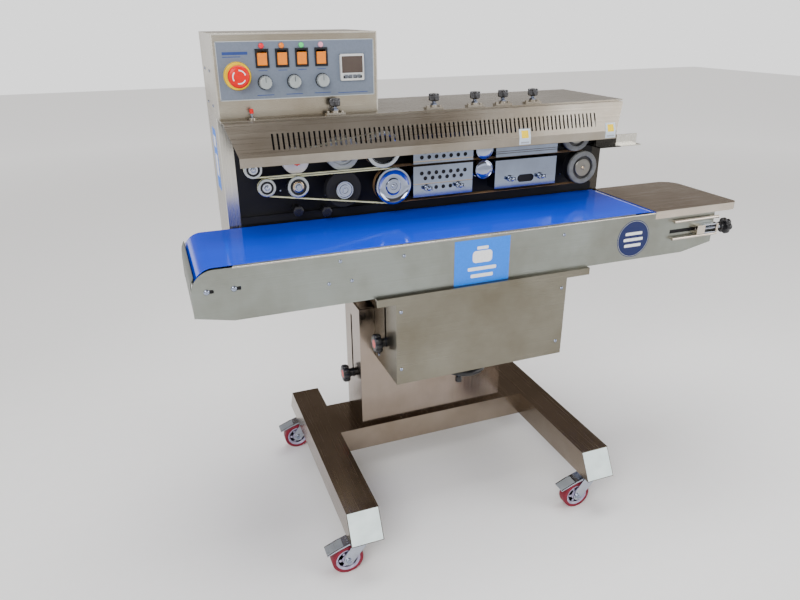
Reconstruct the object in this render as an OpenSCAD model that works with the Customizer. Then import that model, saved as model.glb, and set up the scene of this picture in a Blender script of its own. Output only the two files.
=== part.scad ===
// Floor-standing continuous band sealer with a belt conveyor.
// Millimetres, +Z up, X along the conveyor, -Y towards the operator.
// The origin is on the floor under the middle of the whole machine.

/* [Overall] */
// Conveyor length with its end plate, the machine's length
total_len = 1450; // [1200:10:1750]
// Depth from the front of the feet to the back of the head
total_depth = 695; // [575:5:840]
// Height of the conveyor belt's top face
belt_h = 740; // [700:5:850]
// Height of the sealing line above the belt
seal_above_belt = 128; // [110:1:170]

/* [Stand] */
// Sideways place of the stand's middle, from the machine's middle
stand_x = -110.5; // [-150:0.5:-60]
// Width of each foot
foot_w = 78; // [60:1:100]
// Height of each foot
foot_h = 67; // [50:1:90]
// Length of a foot along its underside
foot_len = 640; // [560:5:700]
// How far each slanted foot end leans inwards
foot_slant = 38; // [10:1:50]
// Distance between the middles of the two feet
foot_track = 632; // [560:1:700]
// Depth of the cross-beam between the feet
beam_d = 145; // [110:1:170]
// Sheet thickness of feet and cross-beam
foot_wall = 3; // [2:0.5:5]

/* [Castors] */
// Height from the floor to the underside of the foot
caster_h = 108; // [100:1:130]
// Wheel diameter
caster_wheel_d = 76; // [60:1:80]
// Wheel width
caster_wheel_w = 28; // [20:1:34]
// Distance of the wheel's axle behind the swivel axis
caster_trail = 38; // [25:1:45]
// Distance between front and rear castors
caster_span = 535; // [450:5:560]

/* [Column and lift] */
// Column width
column_w = 419; // [345:1:460]
// Column depth
column_d = 130; // [110:1:150]
// Column sheet thickness
column_wall = 3; // [2:0.5:5]
// Height of the column above the cross-beam
column_h = 345; // [300:5:400]
// Distance from the column's front face back to the mechanism plate
column_back = 117; // [100:1:140]
// Gap between the column and the mast inside it, each side
mast_gap = 1; // [0.5:0.5:2]
// Upward travel of the head
head_lift = 170; // [100:5:180]
// Downward travel of the conveyor
conveyor_drop = 60; // [30:5:70]
// Diameter of the lock knobs
lock_knob_d = 50; // [40:1:60]
// Diameter of the lock knobs' studs
lock_stud_d = 10; // [8:1:12]
// Handwheel diameter
handwheel_d = 120; // [90:1:140]
// Elevating screw diameter
screw_d = 16; // [12:1:20]
// Distance of the elevating screw in front of the column
screw_out = 80; // [60:1:110]
// Depth of the riser between the lift arm and the head
riser_d = 58.5; // [40:0.5:70]

/* [Conveyor] */
// Distance between the outer faces of the side panels
conveyor_w = 265; // [220:1:300]
// Gap between the conveyor and the mechanism plate behind it
conveyor_gap = 7; // [4:1:12]
// Height of the side panels
panel_h = 120; // [110:1:140]
// Side panel sheet thickness
panel_t = 2.5; // [1.5:0.5:4]
// Roller diameter
roller_d = 84; // [68:1:90]
// Belt thickness
belt_t = 2; // [1.5:0.5:3]
// Length of the end plate
plate_len = 276; // [200:1:320]
// Sheet thickness of the end plate
plate_sheet = 3; // [2:0.5:4]
// Diameter of the belt tension knob
tension_knob_d = 44; // [30:1:50]
// How far the tension knob stays inside the end plate's right edge
tension_inset = 35; // [0:1:50]
// Width of the box under the conveyor
box_w = 465; // [400:1:500]
// Depth of the box under the conveyor
box_d = 161; // [140:1:170]
// Height of the box under the conveyor
box_h = 216; // [200:1:240]

/* [Sealing head] */
// Sideways place of the head's middle, from the machine's middle
head_x = -74; // [-120:1:-40]
// Height of the top plate above the sealing line
head_above_seal = 132; // [125:1:150]
// Head width
head_w = 1064; // [1000:2:1150]
// Head depth behind the mechanism plate
head_d = 213; // [190:1:240]
// Height of the head case
head_h = 360; // [340:5:400]
// Head sheet thickness
head_t = 3; // [2:0.5:4]
// Thickness of the mechanism plate
mech_t = 4; // [3:0.5:8]
// How far the mechanism stands in front of its plate
mech_depth = 72; // [65:1:80]
// Gap between upper and lower wheels at the sealing line
nip_gap = 2; // [1:0.5:3]
// Gap between upper and lower blocks
block_gap = 6; // [5:0.5:9]
// Diameter of the cooling block's air holes
cooling_hole_d = 10.4; // [6:0.2:12]
// Spacing of the air holes along a row
hole_pitch = 20; // [18:0.5:22]
// Depth of heating and cooling blocks
block_d = 42; // [35:1:50]
// Wheel shaft diameter
shaft_d = 12; // [10:1:14]
// Width of a sealing band
band_w = 15; // [10:1:18]
// Width of a guide belt
guide_w = 6; // [4:1:8]

/* [Control box] */
// Width of the control box
cbox_w = 376; // [350:1:420]
// Height of the control box
cbox_h = 179; // [168:1:200]
// How far the control box's face stands in front of the mechanism plate
cbox_out = 36; // [20:1:60]
// Diameter of the emergency stop's head
stop_d = 48; // [36:1:54]
// Diameter of a dial's cap
dial_d = 29; // [20:1:34]

/* [Fits] */
// Radial clearance of a shaft in its bore
shaft_clear = 0.05; // [0.02:0.01:0.1]
// Gap between curved faces of different moving pieces
face_gap = 0.3; // [0.2:0.05:0.5]

/* [Hidden] */
$fn = 48;

// Main places
x_left = -total_len / 2;
x_right = total_len / 2;
y_front = -total_depth / 2;
y_back = total_depth / 2;
beam_z = caster_h + foot_h;                 // top of feet and cross-beam
foot_mid_y = y_front + foot_len / 2;
head_front = y_back - head_d;               // front face of the mechanism plate
mech_y = head_front - mech_depth;           // front face of wheels and blocks
column_y = head_front - column_back;        // front face of the column
column_top = beam_z + column_h;
box_rear_y = column_y - mast_gap;
box_front_y = box_rear_y - box_d;
conveyor_rear = head_front - conveyor_gap;
conveyor_y = conveyor_rear - conveyor_w;    // outer face of the front panel
panel_top = belt_h - 5;
panel_bot = panel_top - panel_h;
tray_t = 3;
tray_lip = 18;
box_top = panel_bot - tray_t;
box_bot = box_top - box_h - 15;
box_x = stand_x + 65;                       // middle of the box
seal_z = belt_h + seal_above_belt;
head_top = seal_z + head_above_seal;                    // top face of the top plate
head_bot = head_top - head_h;
head_l = head_x - head_w / 2;
head_r = head_x + head_w / 2;
top_y = mech_y;                             // front edge of the top plate
cbox_y = head_front - cbox_out;             // front face of the control box
panel_skin = 1.5;

// A cylinder along Y from y0 to y1
module ycyl(r, y0, y1, x = 0, z = 0) {
    translate([x, y0, z]) rotate([-90, 0, 0]) cylinder(r = r, h = y1 - y0);
}
// A cylinder along X from x0 to x1
module xcyl(r, x0, x1, y = 0, z = 0) {
    translate([x0, y, z]) rotate([0, 90, 0]) cylinder(r = r, h = x1 - x0);
}
// A cylinder along Z from z0 to z1
module zcyl(r, z0, z1, x = 0, y = 0) {
    translate([x, y, z0]) cylinder(r = r, h = z1 - z0);
}
// A box between two corners
module span(lo, hi) {
    translate(lo) cube(hi - lo);
}
// An XZ outline given thickness along Y from y0 to y1
module xz_plate(y0, y1) {
    translate([0, y1, 0]) rotate([90, 0, 0]) linear_extrude(y1 - y0) children();
}
// A YZ outline given thickness along X from x0 to x1
module yz_plate(x0, x1) {
    translate([x0, 0, 0]) rotate([90, 0, 90]) linear_extrude(x1 - x0) children();
}

// ---------- Stand ----------
foot_x = [for (side = [-1, 1]) stand_x + side * foot_track / 2];
caster_y = [for (side = [-1, 1]) foot_mid_y + side * caster_span / 2];
caster_at = [for (y = caster_y) for (x = foot_x) [x, y]];

module foot_outline(inset) {
    bot = caster_h - (inset > 0 ? 1 : 0);
    rise = foot_slant / foot_h;
    top = beam_z - inset;
    b0 = y_front - (caster_h - bot) * rise;
    b1 = y_front + foot_len + (caster_h - bot) * rise;
    polygon([[b0, bot], [b1, bot],
        [y_front + foot_len - (top - caster_h) * rise, top],
        [y_front + (top - caster_h) * rise, top]]);
}
module foot(x) {
    difference() {
        yz_plate(x - foot_w / 2, x + foot_w / 2) foot_outline(0);
        yz_plate(x - foot_w / 2 + foot_wall, x + foot_w / 2 - foot_wall) foot_outline(foot_wall);
    }
    for (y = caster_y)
        span([x - foot_w / 2 + 1, y - 42, caster_h], [x + foot_w / 2 - 1, y + 42, caster_h + 4]);
    for (side = [-1, 1]) {
        y = foot_mid_y + side * (foot_len / 2 - foot_slant - 6);
        span([x - foot_w / 2 + 1, y - 2, caster_h], [x + foot_w / 2 - 1, y + 2, beam_z - 1]);
    }
}
module foot_frame() {
    beam_y0 = column_y - 15;
    color("silver") {
        for (x = foot_x) foot(x);
        difference() {
            span([foot_x[0] + foot_w / 2 - 1, beam_y0, caster_h],
                [foot_x[1] - foot_w / 2 + 1, beam_y0 + beam_d, beam_z]);
            span([foot_x[0], beam_y0 + foot_wall, caster_h - 1],
                [foot_x[1], beam_y0 + beam_d - foot_wall, beam_z - foot_wall]);
        }
    }
}
// Pads, king pins and bolt heads that hold the castors
module caster_plates() {
    head_z = caster_h - 8;
    color("gainsboro") for (at = caster_at) translate([at[0], at[1], 0]) {
        span([-35, -35, caster_h - 4], [35, 35, caster_h]);
        zcyl(19, head_z + face_gap, caster_h - 4);
        zcyl(5, head_z - 14, caster_h - 4);
        for (sx = [-1, 1]) for (sy = [-1, 1])
            translate([sx * 27, sy * 27, caster_h - 8]) cylinder(r = 5, h = 5, $fn = 6);
    }
}
wheel_r = caster_wheel_d / 2;
fork_t = 3;
fork_in = caster_wheel_w / 2 + 1.5;
fork_top = caster_h - 14;
module fork_leg() {
    polygon([[-18, fork_top], [18, fork_top], [12, fork_top - 14],
        [-caster_trail + 11, wheel_r - 6], [-caster_trail - 11, wheel_r - 2],
        [-caster_trail - 8, wheel_r + 18]]);
    translate([-caster_trail, wheel_r]) circle(r = 12);
}
module caster_fork(at) {
    color("lightsteelblue") translate([at[0], at[1], 0]) {
        difference() {
            union() {
                zcyl(22, fork_top - fork_t, caster_h - 8);
                span([-20, -fork_in - fork_t, fork_top - fork_t], [20, fork_in + fork_t, fork_top]);
            }
            zcyl(5 + shaft_clear, fork_top - 20, caster_h);
        }
        xz_plate(-fork_in - fork_t, -fork_in) fork_leg();
        xz_plate(fork_in, fork_in + fork_t) fork_leg();
        ycyl(4, -fork_in - fork_t - 3, fork_in + fork_t + 3, -caster_trail, wheel_r);
        for (side = [-1, 1])
            ycyl(8, side * (fork_in + fork_t + 1.5) - 1.5, side * (fork_in + fork_t + 1.5) + 1.5,
                -caster_trail, wheel_r);
        // brake pedal with its pressed lip, on the trailing side
        xz_plate(-fork_in - 1, fork_in + 1) polygon([
            [-14, fork_top - 1], [-58, fork_top - 14], [-88, fork_top - 26],
            [-88, fork_top - 29], [-57, fork_top - 17.5], [-14, fork_top - 5]]);
    }
}
module caster_wheel(at) {
    half = caster_wheel_w / 2;
    color("firebrick") translate([at[0] - caster_trail, at[1], wheel_r])
        rotate([90, 0, 0]) rotate_extrude() {
            polygon([[4 + shaft_clear, -half - 1.2], [10, -half - 1.2], [11, -half + 3], [wheel_r - 10, -half + 3],
                [wheel_r - 9, -half], [wheel_r - 4, -half], [wheel_r, -half + 4], [wheel_r, half - 4],
                [wheel_r - 4, half], [wheel_r - 9, half], [wheel_r - 10, half - 3], [11, half - 3],
                [10, half + 1.2], [4 + shaft_clear, half + 1.2]]);
        }
}

// ---------- Column and lift ----------
column_l = stand_x - column_w / 2;
column_r = stand_x + column_w / 2;
slot_y = column_y + 74;                      // middle of the column's slot
mast_stud_z = beam_z + 128;
module column() {
    w = column_wall;
    color("lightgray") difference() {
        span([column_l, column_y, beam_z], [column_r, column_y + column_d, column_top]);
        span([column_l + w, column_y + w, beam_z + w], [column_r - w, column_y + column_d - w, column_top + 1]);
        span([column_l - 1, slot_y - lock_stud_d / 2 - 1, mast_stud_z - lock_stud_d / 2 - 1],
            [column_l + w + 1, slot_y + lock_stud_d / 2 + 1, mast_stud_z + head_lift + lock_stud_d / 2 + 1]);
    }
}
inner = column_wall + mast_gap;              // from the column's outside to the mast's
mast_l = column_l + inner;
mast_r = column_r - inner;
arm_z = column_top + 2;
arm_t = 12;
screw_x = stand_x + 50.5;
screw_y = column_y - screw_out;
lock_y = box_front_y + 79;                   // stud of the conveyor's lock knob
lock_z = belt_h - 278;
box_l = box_x - box_w / 2;
box_r = box_x + box_w / 2;
riser_y = conveyor_rear + 4;
riser_rear = riser_y + riser_d;
riser_wall = 4;
// The inner tube, its top arm into the box, the stud bracket and the riser to the head
module mast() {
    w = 3;
    pad_l = box_l + panel_t + 8;
    color("darkgray") {
        difference() {
            span([mast_l, column_y + inner, beam_z + 25], [mast_r, column_y + column_d - inner, arm_z + 1]);
            span([mast_l + w, column_y + inner + w, beam_z + 24],
                [mast_r - w, column_y + column_d - inner - w, arm_z + 2]);
            xcyl(lock_stud_d / 2 + shaft_clear, mast_l - 1, mast_l + 30, slot_y, mast_stud_z);
        }
        difference() {
            xcyl(12, mast_l + w - 1, mast_l + 14, slot_y, mast_stud_z);
            xcyl(lock_stud_d / 2 + shaft_clear, mast_l - 1, mast_l + 30, slot_y, mast_stud_z);
        }
        difference() {
            span([pad_l, screw_y - 28, arm_z], [mast_r - 1, riser_rear, arm_z + arm_t]);
            zcyl(screw_d / 2 + shaft_clear, arm_z - 1, arm_z + arm_t + 1, screw_x, screw_y);
        }
        difference() {
            span([pad_l, lock_y - 20, lock_z - 22], [pad_l + 10, lock_y + 20, arm_z + 1]);
            xcyl(lock_stud_d / 2 + shaft_clear, pad_l - 1, pad_l + 11, lock_y, lock_z);
        }
        difference() {
            span([pad_l, riser_y, arm_z + arm_t - 1], [mast_r - 70, riser_rear, head_bot]);
            span([pad_l + riser_wall, riser_y + riser_wall, arm_z + arm_t],
                [mast_r - 70 - riser_wall, riser_rear - riser_wall, head_bot + 1]);
        }
    }
}
// Lobed clamping knob along -X: its stud goes in to x_tip
module lock_knob(x_face, x_tip, y, z) {
    r = lock_knob_d / 2;
    color("black") {
        difference() {
            xcyl(r, x_face - 30, x_face - 12, y, z);
            for (a = [0 : 45 : 315])
                xcyl(4.5, x_face - 31, x_face - 11, y + (r + 1.5) * cos(a), z + (r + 1.5) * sin(a));
        }
        xcyl(11, x_face - 13, x_face, y, z);
    }
    color("salmon") xcyl(11, x_face - 32, x_face - 29, y, z);
    color("silver") xcyl(lock_stud_d / 2, x_face - 1, x_tip, y, z);
}
module mast_lock_knob() {
    lock_knob(column_l - face_gap, mast_l + 12, slot_y, mast_stud_z);
}
module conveyor_lock_knob() {
    lock_knob(box_l - face_gap, box_l + panel_t + 17, lock_y, lock_z);
}

// ---------- Box under the conveyor ----------
module carriage_box() {
    w = panel_t;
    lip_y = box_front_y - 5;
    color("darkkhaki") {
        difference() {
            span([box_l, box_front_y, box_bot], [box_r, box_rear_y, box_top + 1]);
            span([box_l + w, box_front_y + w, box_bot + w], [box_r - w, box_rear_y + 1, box_top + 2]);
            span([box_l - 1, lock_y - lock_stud_d / 2 - 1, lock_z - lock_stud_d / 2 - 1],
                [box_l + w + 1, lock_y + lock_stud_d / 2 + 1, lock_z + conveyor_drop + lock_stud_d / 2 + 30]);
            zcyl(screw_d / 2 + shaft_clear, box_bot - 1, box_bot + 20, screw_x, screw_y);
        }
        difference() {
            zcyl(20, box_bot + w - 1, box_bot + 16, screw_x, screw_y);
            zcyl(screw_d / 2 + shaft_clear, box_bot - 1, box_bot + 20, screw_x, screw_y);
        }
        // tray that carries the conveyor
        span([box_l - 48, lip_y, box_top], [box_r + 63, conveyor_rear, panel_bot]);
        span([box_l - 48, lip_y, panel_bot - tray_lip], [box_r + 63, lip_y + tray_t, box_top + 1]);
        span([box_l - 48, conveyor_rear - tray_t, panel_bot - tray_lip],
            [box_r + 63, conveyor_rear, box_top + 1]);
    }
}
hand_z = box_bot - 26;                       // middle of the handwheel's rim
module handwheel() {
    rim = 9;
    r = handwheel_d / 2 - rim;
    color("black") translate([screw_x, screw_y, 0]) {
        translate([0, 0, hand_z]) rotate_extrude() translate([r, 0]) circle(r = rim);
        for (a = [30 : 120 : 270]) rotate([0, 0, a]) span([0, -7, hand_z - 4], [r, 7, hand_z + 4]);
        zcyl(17, hand_z - 8, hand_z + 14);
        rotate([0, 0, 233]) {
            zcyl(4, hand_z - 22, hand_z, r);
            zcyl(9, hand_z - 26, hand_z - 10, r);
        }
    }
    color("silver") zcyl(screw_d / 2, hand_z, box_top - 5, screw_x, screw_y);
}

// ---------- Conveyor ----------
roller_r = roller_d / 2;
wrap_r = roller_r + face_gap;                // inside of the belt on a roller
belt_r = wrap_r + belt_t;
roller_z = belt_h - belt_r;
idler_x = x_left + 6 + belt_r;
plate_l = x_right - plate_len;
plate_top = belt_h - 2;
plate_lip = 20;
plate_under = plate_top - plate_sheet - roller_z;
// the end plate starts where the belt has curved down below its sheet
drive_x = plate_l - sqrt(belt_r * belt_r - plate_under * plate_under) - 1;
axle_r = 8;
slot_z = roller_z - 18;
bracket_r = x_right - 77;

function arc(c, r, a0, a1, n = 12) =
    [for (i = [0 : n]) let (a = a0 + (a1 - a0) * i / n) [c[0] + r * cos(a), c[1] + r * sin(a)]];

module panel_outline() {
    corner = 50;
    polygon(concat(
        [[x_left + 82, panel_bot], [bracket_r - 96, panel_bot], [bracket_r, panel_bot + 19],
            [bracket_r, plate_top - plate_lip], [plate_l, plate_top - plate_lip],
            [plate_l, panel_top]],
        arc([x_left + corner, panel_top - corner], corner, 90, 180),
        [[x_left, panel_bot + 17]]));
}
// Side panel between y0 and y1, with a bearing on its inner side
module side_panel(y0, y1, in0, in1) {
    difference() {
        union() {
            xz_plate(y0, y1) panel_outline();
            for (x = [idler_x, drive_x]) ycyl(20, in0, in1, x, roller_z);
        }
        for (x = [idler_x, drive_x]) ycyl(axle_r + shaft_clear, min(y0, in0) + 1, max(y1, in1) + 1, x, roller_z);
    }
}
module front_panel() {
    y0 = conveyor_y;
    color("slategray") difference() {
        side_panel(y0, y0 + panel_t, y0 + 1, y0 + panel_t + 6);
        span([plate_l + 53, y0 - 1, slot_z - 5], [plate_l + 153, y0 + panel_t + 1, slot_z + 5]);
        for (x = [x_left + 31, x_left + 87])
            span([x - 4, y0 - 1, roller_z - 12], [x + 15, y0 + panel_t + 1, roller_z - 4]);
    }
}
// Sheet that covers the belt's turn at the feed end
guard_gap = 4;
guard_t = 1.5;
module end_guard(y0, y1) {
    r = belt_r + guard_gap;
    xz_plate(y0, y1) polygon(concat(
        arc([idler_x, roller_z], r + guard_t, 148, 180), [[idler_x - r - guard_t, panel_bot + 17]],
        [[idler_x - r, panel_bot + 17]], arc([idler_x, roller_z], r, 180, 148)));
}
module rear_panel() {
    y1 = conveyor_rear;
    bed_y0 = conveyor_y + panel_t;
    color("slategray") {
        difference() {
            union() {
                xz_plate(y1 - panel_t, y1) panel_outline();
                for (x = [idler_x, drive_x]) ycyl(20, y1 - panel_t - 6, y1 - 1, x, roller_z);
            }
            for (x = [idler_x, drive_x])
                ycyl(axle_r + shaft_clear, y1 - panel_t - 7, y1 - 1, x, roller_z);
        }
        end_guard(bed_y0, y1 - panel_t + 1);
        // slider bed under the belt's top run, on three ties
        bed_top = belt_h - belt_t - face_gap;
        span([idler_x + 40, bed_y0 + 2, bed_top - 3], [drive_x - 40, y1 - panel_t + 1, bed_top]);
        for (x = [idler_x + 120, 0, drive_x - 120])
            span([x - 20, bed_y0, roller_z - 12], [x + 20, y1 - panel_t + 1, bed_top - 2]);
    }
}
// Points of a belt's loop round two wheels, each [x, z]
function loop_points(c1, r1, c2, r2, n = 40) =
    let (d = norm(c2 - c1), base = atan2(c2[1] - c1[1], c2[0] - c1[0]), open = acos((r1 - r2) / d))
    concat(arc(c2, r2, base - open, base + open, n), arc(c1, r1, base + open, base + 360 - open, n));
module belt_loop(c1, r1, c2, r2, t, y0, y1) {
    xz_plate(y0, y1) difference() {
        polygon(loop_points(c1, r1 + t, c2, r2 + t));
        polygon(loop_points(c1, r1, c2, r2));
    }
}
belt_y0 = conveyor_y + panel_t + 2;
belt_y1 = conveyor_rear - panel_t - 2;
module conveyor_belt() {
    color("royalblue")
        belt_loop([idler_x, roller_z], wrap_r, [drive_x, roller_z], wrap_r, belt_t, belt_y0, belt_y1);
}
module roller(x) {
    color("gray") {
        ycyl(roller_r, belt_y0 + 6, belt_y1 - 6, x, roller_z);
        ycyl(axle_r, conveyor_y + panel_t, conveyor_rear - panel_t, x, roller_z);
    }
}
module drive_roller() {
    roller(drive_x);
}
module idler_roller() {
    roller(idler_x);
}
// Rounded outline of the end plate, inset by its wall
module plate_outline(inset) {
    y0 = conveyor_y + inset;
    y1 = conveyor_rear + 5 - inset;
    x1 = x_right - inset;
    small = 20 - inset;
    big = 50 - inset;
    polygon(concat([[plate_l, y0]],
        arc([x1 - small, y0 + small], small, -90, 0), arc([x1 - big, y1 - big], big, 0, 90), [[plate_l, y1]]));
}
rod_y = conveyor_y - 9;
rod_r = 4;
block_x = x_right - 132;
module end_plate() {
    color("lightgray") {
        difference() {
            translate([0, 0, plate_top - plate_lip]) linear_extrude(plate_lip) plate_outline(0);
            translate([0, 0, plate_top - plate_lip - 1]) linear_extrude(plate_lip + 1 - plate_sheet)
                plate_outline(plate_sheet);
        }
        // guide rails, sliding nut block and rod lug of the belt tension
        for (z = [slot_z + 29, slot_z - 18]) {
            xcyl(4, x_right - 220, x_right - 71, rod_y, z);
            for (x = [x_right - 216, x_right - 84]) ycyl(3, rod_y, conveyor_y, x, z);
        }
        difference() {
            union() {
                span([block_x - 13, conveyor_y - 17, slot_z - 12], [block_x + 13, conveyor_y, slot_z + 12]);
                span([x_right - 81, conveyor_y - 17, slot_z - 12], [x_right - 74, conveyor_y, slot_z + 12]);
            }
            xcyl(rod_r + shaft_clear, block_x - 20, x_right - 60, rod_y, slot_z);
        }
    }
}
module tension_knob() {
    r = tension_knob_d / 2;
    x1 = x_right - tension_inset;
    x0 = x1 - 28;
    color("black") difference() {
        union() {
            xcyl(r, x1 - 16, x1, rod_y, slot_z);
            xcyl(10, x0, x1 - 15, rod_y, slot_z);
        }
        for (a = [0 : 60 : 300])
            xcyl(6, x1 - 17, x1 + 1, rod_y + (r + 2) * cos(a), slot_z + (r + 2) * sin(a));
    }
    color("silver") xcyl(rod_r, block_x - 6, x0 + 1, rod_y, slot_z);
}

// ---------- Sealing head ----------
post_w = 29;
post_d = 20;
// Case: floor, sides and ventilated back
module head_case() {
    w = head_t;
    y0 = head_front + post_d;
    color("gainsboro") difference() {
        span([head_l, y0, head_bot], [head_r, y_back, head_top - head_t]);
        span([head_l + w, y0 - 1, head_bot + w], [head_r - w, y_back - w, head_top]);
        for (i = [0 : 9]) for (side = [-1, 1])
            span([head_x + side * 250 - 60, y_back - w - 1, head_bot + 60 + i * 16],
                [head_x + side * 250 + 60, y_back + 1, head_bot + 66 + i * 16]);
    }
    // cable gland under the back
    color("black") difference() {
        union() {
            zcyl(12, head_bot - 14, head_bot, head_l + 60, y_back - 30);
            translate([head_l + 60, y_back - 30, head_bot - 6]) cylinder(r = 15, h = 6, $fn = 6);
        }
        zcyl(5, head_bot - 15, head_bot - 4, head_l + 60, y_back - 30);
    }
}
plate_x0 = head_l + post_w;
plate_x1 = head_r - post_w;
// Wheels of the mechanism: name, x, radius, side of the sealing line
wheel_x_band_lower = head_x - 130;
wheel_x_band_upper = head_x - 155;
wheel_x_end_lower = head_x + 427;
wheel_x_end_upper = head_x + 399;
WHEELS = [
    ["band_wheel_lower", wheel_x_band_lower, 46, -1],
    ["band_wheel_upper", wheel_x_band_upper, 45, 1],
    ["end_wheel_lower", wheel_x_end_lower, 45, -1],
    ["end_wheel_upper", wheel_x_end_upper, 44, 1],
    ["press_wheel_lower", head_x + 121, 25, -1],
    ["press_wheel_upper", head_x + 121, 25, 1],
    ["rubber_roller", head_x - 256, 44.5, -1],
    ["counter_roller", head_x - 255, 41.5, 1],
    ["feed_roller_lower", head_x - 370, 26, -1],
    ["feed_roller_upper", head_x - 370, 31.5, 1],
    ["guide_pulley_lower", head_x - 444, 21.5, -1],
    ["guide_pulley_upper", head_x - 472, 21, 1]
];
function wheel_row(name) = WHEELS[search([name], WHEELS)[0]];
function wheel_r_of(name) = wheel_row(name)[2];
function wheel_at(name) = let (w = wheel_row(name)) [w[1], seal_z + w[3] * (nip_gap / 2 + w[2])];
shaft_r = shaft_d / 2;
boss_y = head_front + mech_t + 14;
module mechanism_plate() {
    color("dimgray") difference() {
        union() {
            span([plate_x0, head_front, head_bot + head_t], [plate_x1, head_front + mech_t, head_top - head_t]);
            for (w = WHEELS) let (c = wheel_at(w[0]))
                ycyl(shaft_r + 8, head_front + mech_t - 1, boss_y, c[0], c[1]);
            span([plate_x0, head_front - 9, belt_h + 6], [plate_x1, head_front + 1, belt_h + 23]);
        }
        for (w = WHEELS) let (c = wheel_at(w[0]))
            ycyl(shaft_r + shaft_clear, head_front - 1, boss_y + 1, c[0], c[1]);
    }
}
module corner_posts() {
    rail_z = seal_z + 6;
    color("whitesmoke") {
        for (x = [head_l, head_r - post_w])
            span([x, head_front, head_bot], [x + post_w, head_front + post_d, head_top - head_t]);
        // film guide rail that sticks out on the discharge side
        span([head_r - post_w, head_front - 9, rail_z], [head_r - 1, head_front + 1, rail_z + 26]);
        span([head_r - 65, mech_y - 14, rail_z], [head_r + 70, head_front - 8, rail_z + 3]);
        span([head_r - 65, mech_y + 11 - 3, rail_z + 2], [head_r + 70, mech_y + 11, rail_z + 30]);
    }
}
knob_y = top_y + 18;
pressure_x = [for (dx = [-268, -17, 95, 174, 261]) head_x + dx];
stem_r = 5;
lever_x = head_x - 461;
module top_plate() {
    color("silver") difference() {
        union() {
            span([head_l, top_y, head_top - head_t], [head_r, y_back, head_top]);
            for (x = pressure_x) {
                span([x - 23, knob_y - 9, head_top - 1], [x + 23, knob_y + 9, head_top + 5]);
                for (side = [-1, 1]) zcyl(4, head_top, head_top + 9, x + side * 17, knob_y);
                zcyl(9, head_top, head_top + 10, x, knob_y);
            }
            zcyl(9, head_top - 1, head_top + 4, lever_x, knob_y);
        }
        for (x = pressure_x)
            zcyl(stem_r + shaft_clear, head_top - head_t - 1, head_top + 11, x, knob_y);
        span([lever_x - 12, knob_y - 3.5, head_top - 2], [lever_x + 12, knob_y + 3.5, head_top + 5]);
    }
}
// Slotted canopy over the mechanism
guard_y = top_y - 20;
lip_y = top_y - 45;
lip_z = head_top - 74;
lip_bot = head_top - 95;
module guard() {
    t = 2;
    top = head_top - head_t;
    slope = (guard_y - lip_y) / (top - lip_z);
    x0 = head_l + 3;
    x1 = head_r - 15;
    color("rosybrown") difference() {
        yz_plate(x0, x1) polygon([
            [top_y + 9, top], [guard_y, top], [lip_y, lip_z], [lip_y, lip_bot],
            [lip_y + t, lip_bot], [lip_y + t, lip_z - 0.3], [guard_y + t, top - t], [top_y + 9, top - t]]);
        for (i = [0 : 71]) {
            z0 = head_top - 61;
            x = head_l + 104 + i * 11.99;
            span([x - 2.25, lip_y - 5, z0], [x + 2.25, guard_y + 5, z0 + 34]);
        }
        xz_plate(lip_y - 10, top_y + 20) polygon([
            [x0 - 1, top - 2], [x0 - 1, lip_bot - 1], [x0 + 23, lip_bot - 1], [x0 + 23, lip_z]]);
        xz_plate(lip_y - 10, top_y + 20) polygon([
            [x1 + 1, top - 2], [x1 + 1, lip_bot - 1], [x1 - 28, lip_bot - 1], [x1 - 28, lip_z]]);
    }
}
// Gear motor inside the case
module drive_motor() {
    c = wheel_at("band_wheel_lower");
    y0 = boss_y + 22;
    color("steelblue") {
        span([c[0] + 50, y0, c[1] - 45], [c[0] + 140, y0 + 60, c[1] + 45]);
        ycyl(42, y0 + 59, y_back - head_t - 12, c[0] + 95, c[1]);
        ycyl(8, y0 - 10, y0 + 1, c[0] + 95, c[1]);
        span([c[0] + 40, head_front + mech_t, c[1] - 55], [c[0] + 150, head_front + mech_t + 6, c[1] - 45]);
        span([c[0] + 40, head_front + mech_t, c[1] - 55], [c[0] + 150, y0 + 60, c[1] - 44]);
    }
}
cool_x = [head_x - 78, head_x + 87];
heat_x = [head_x + 153, head_x + 338];
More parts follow.
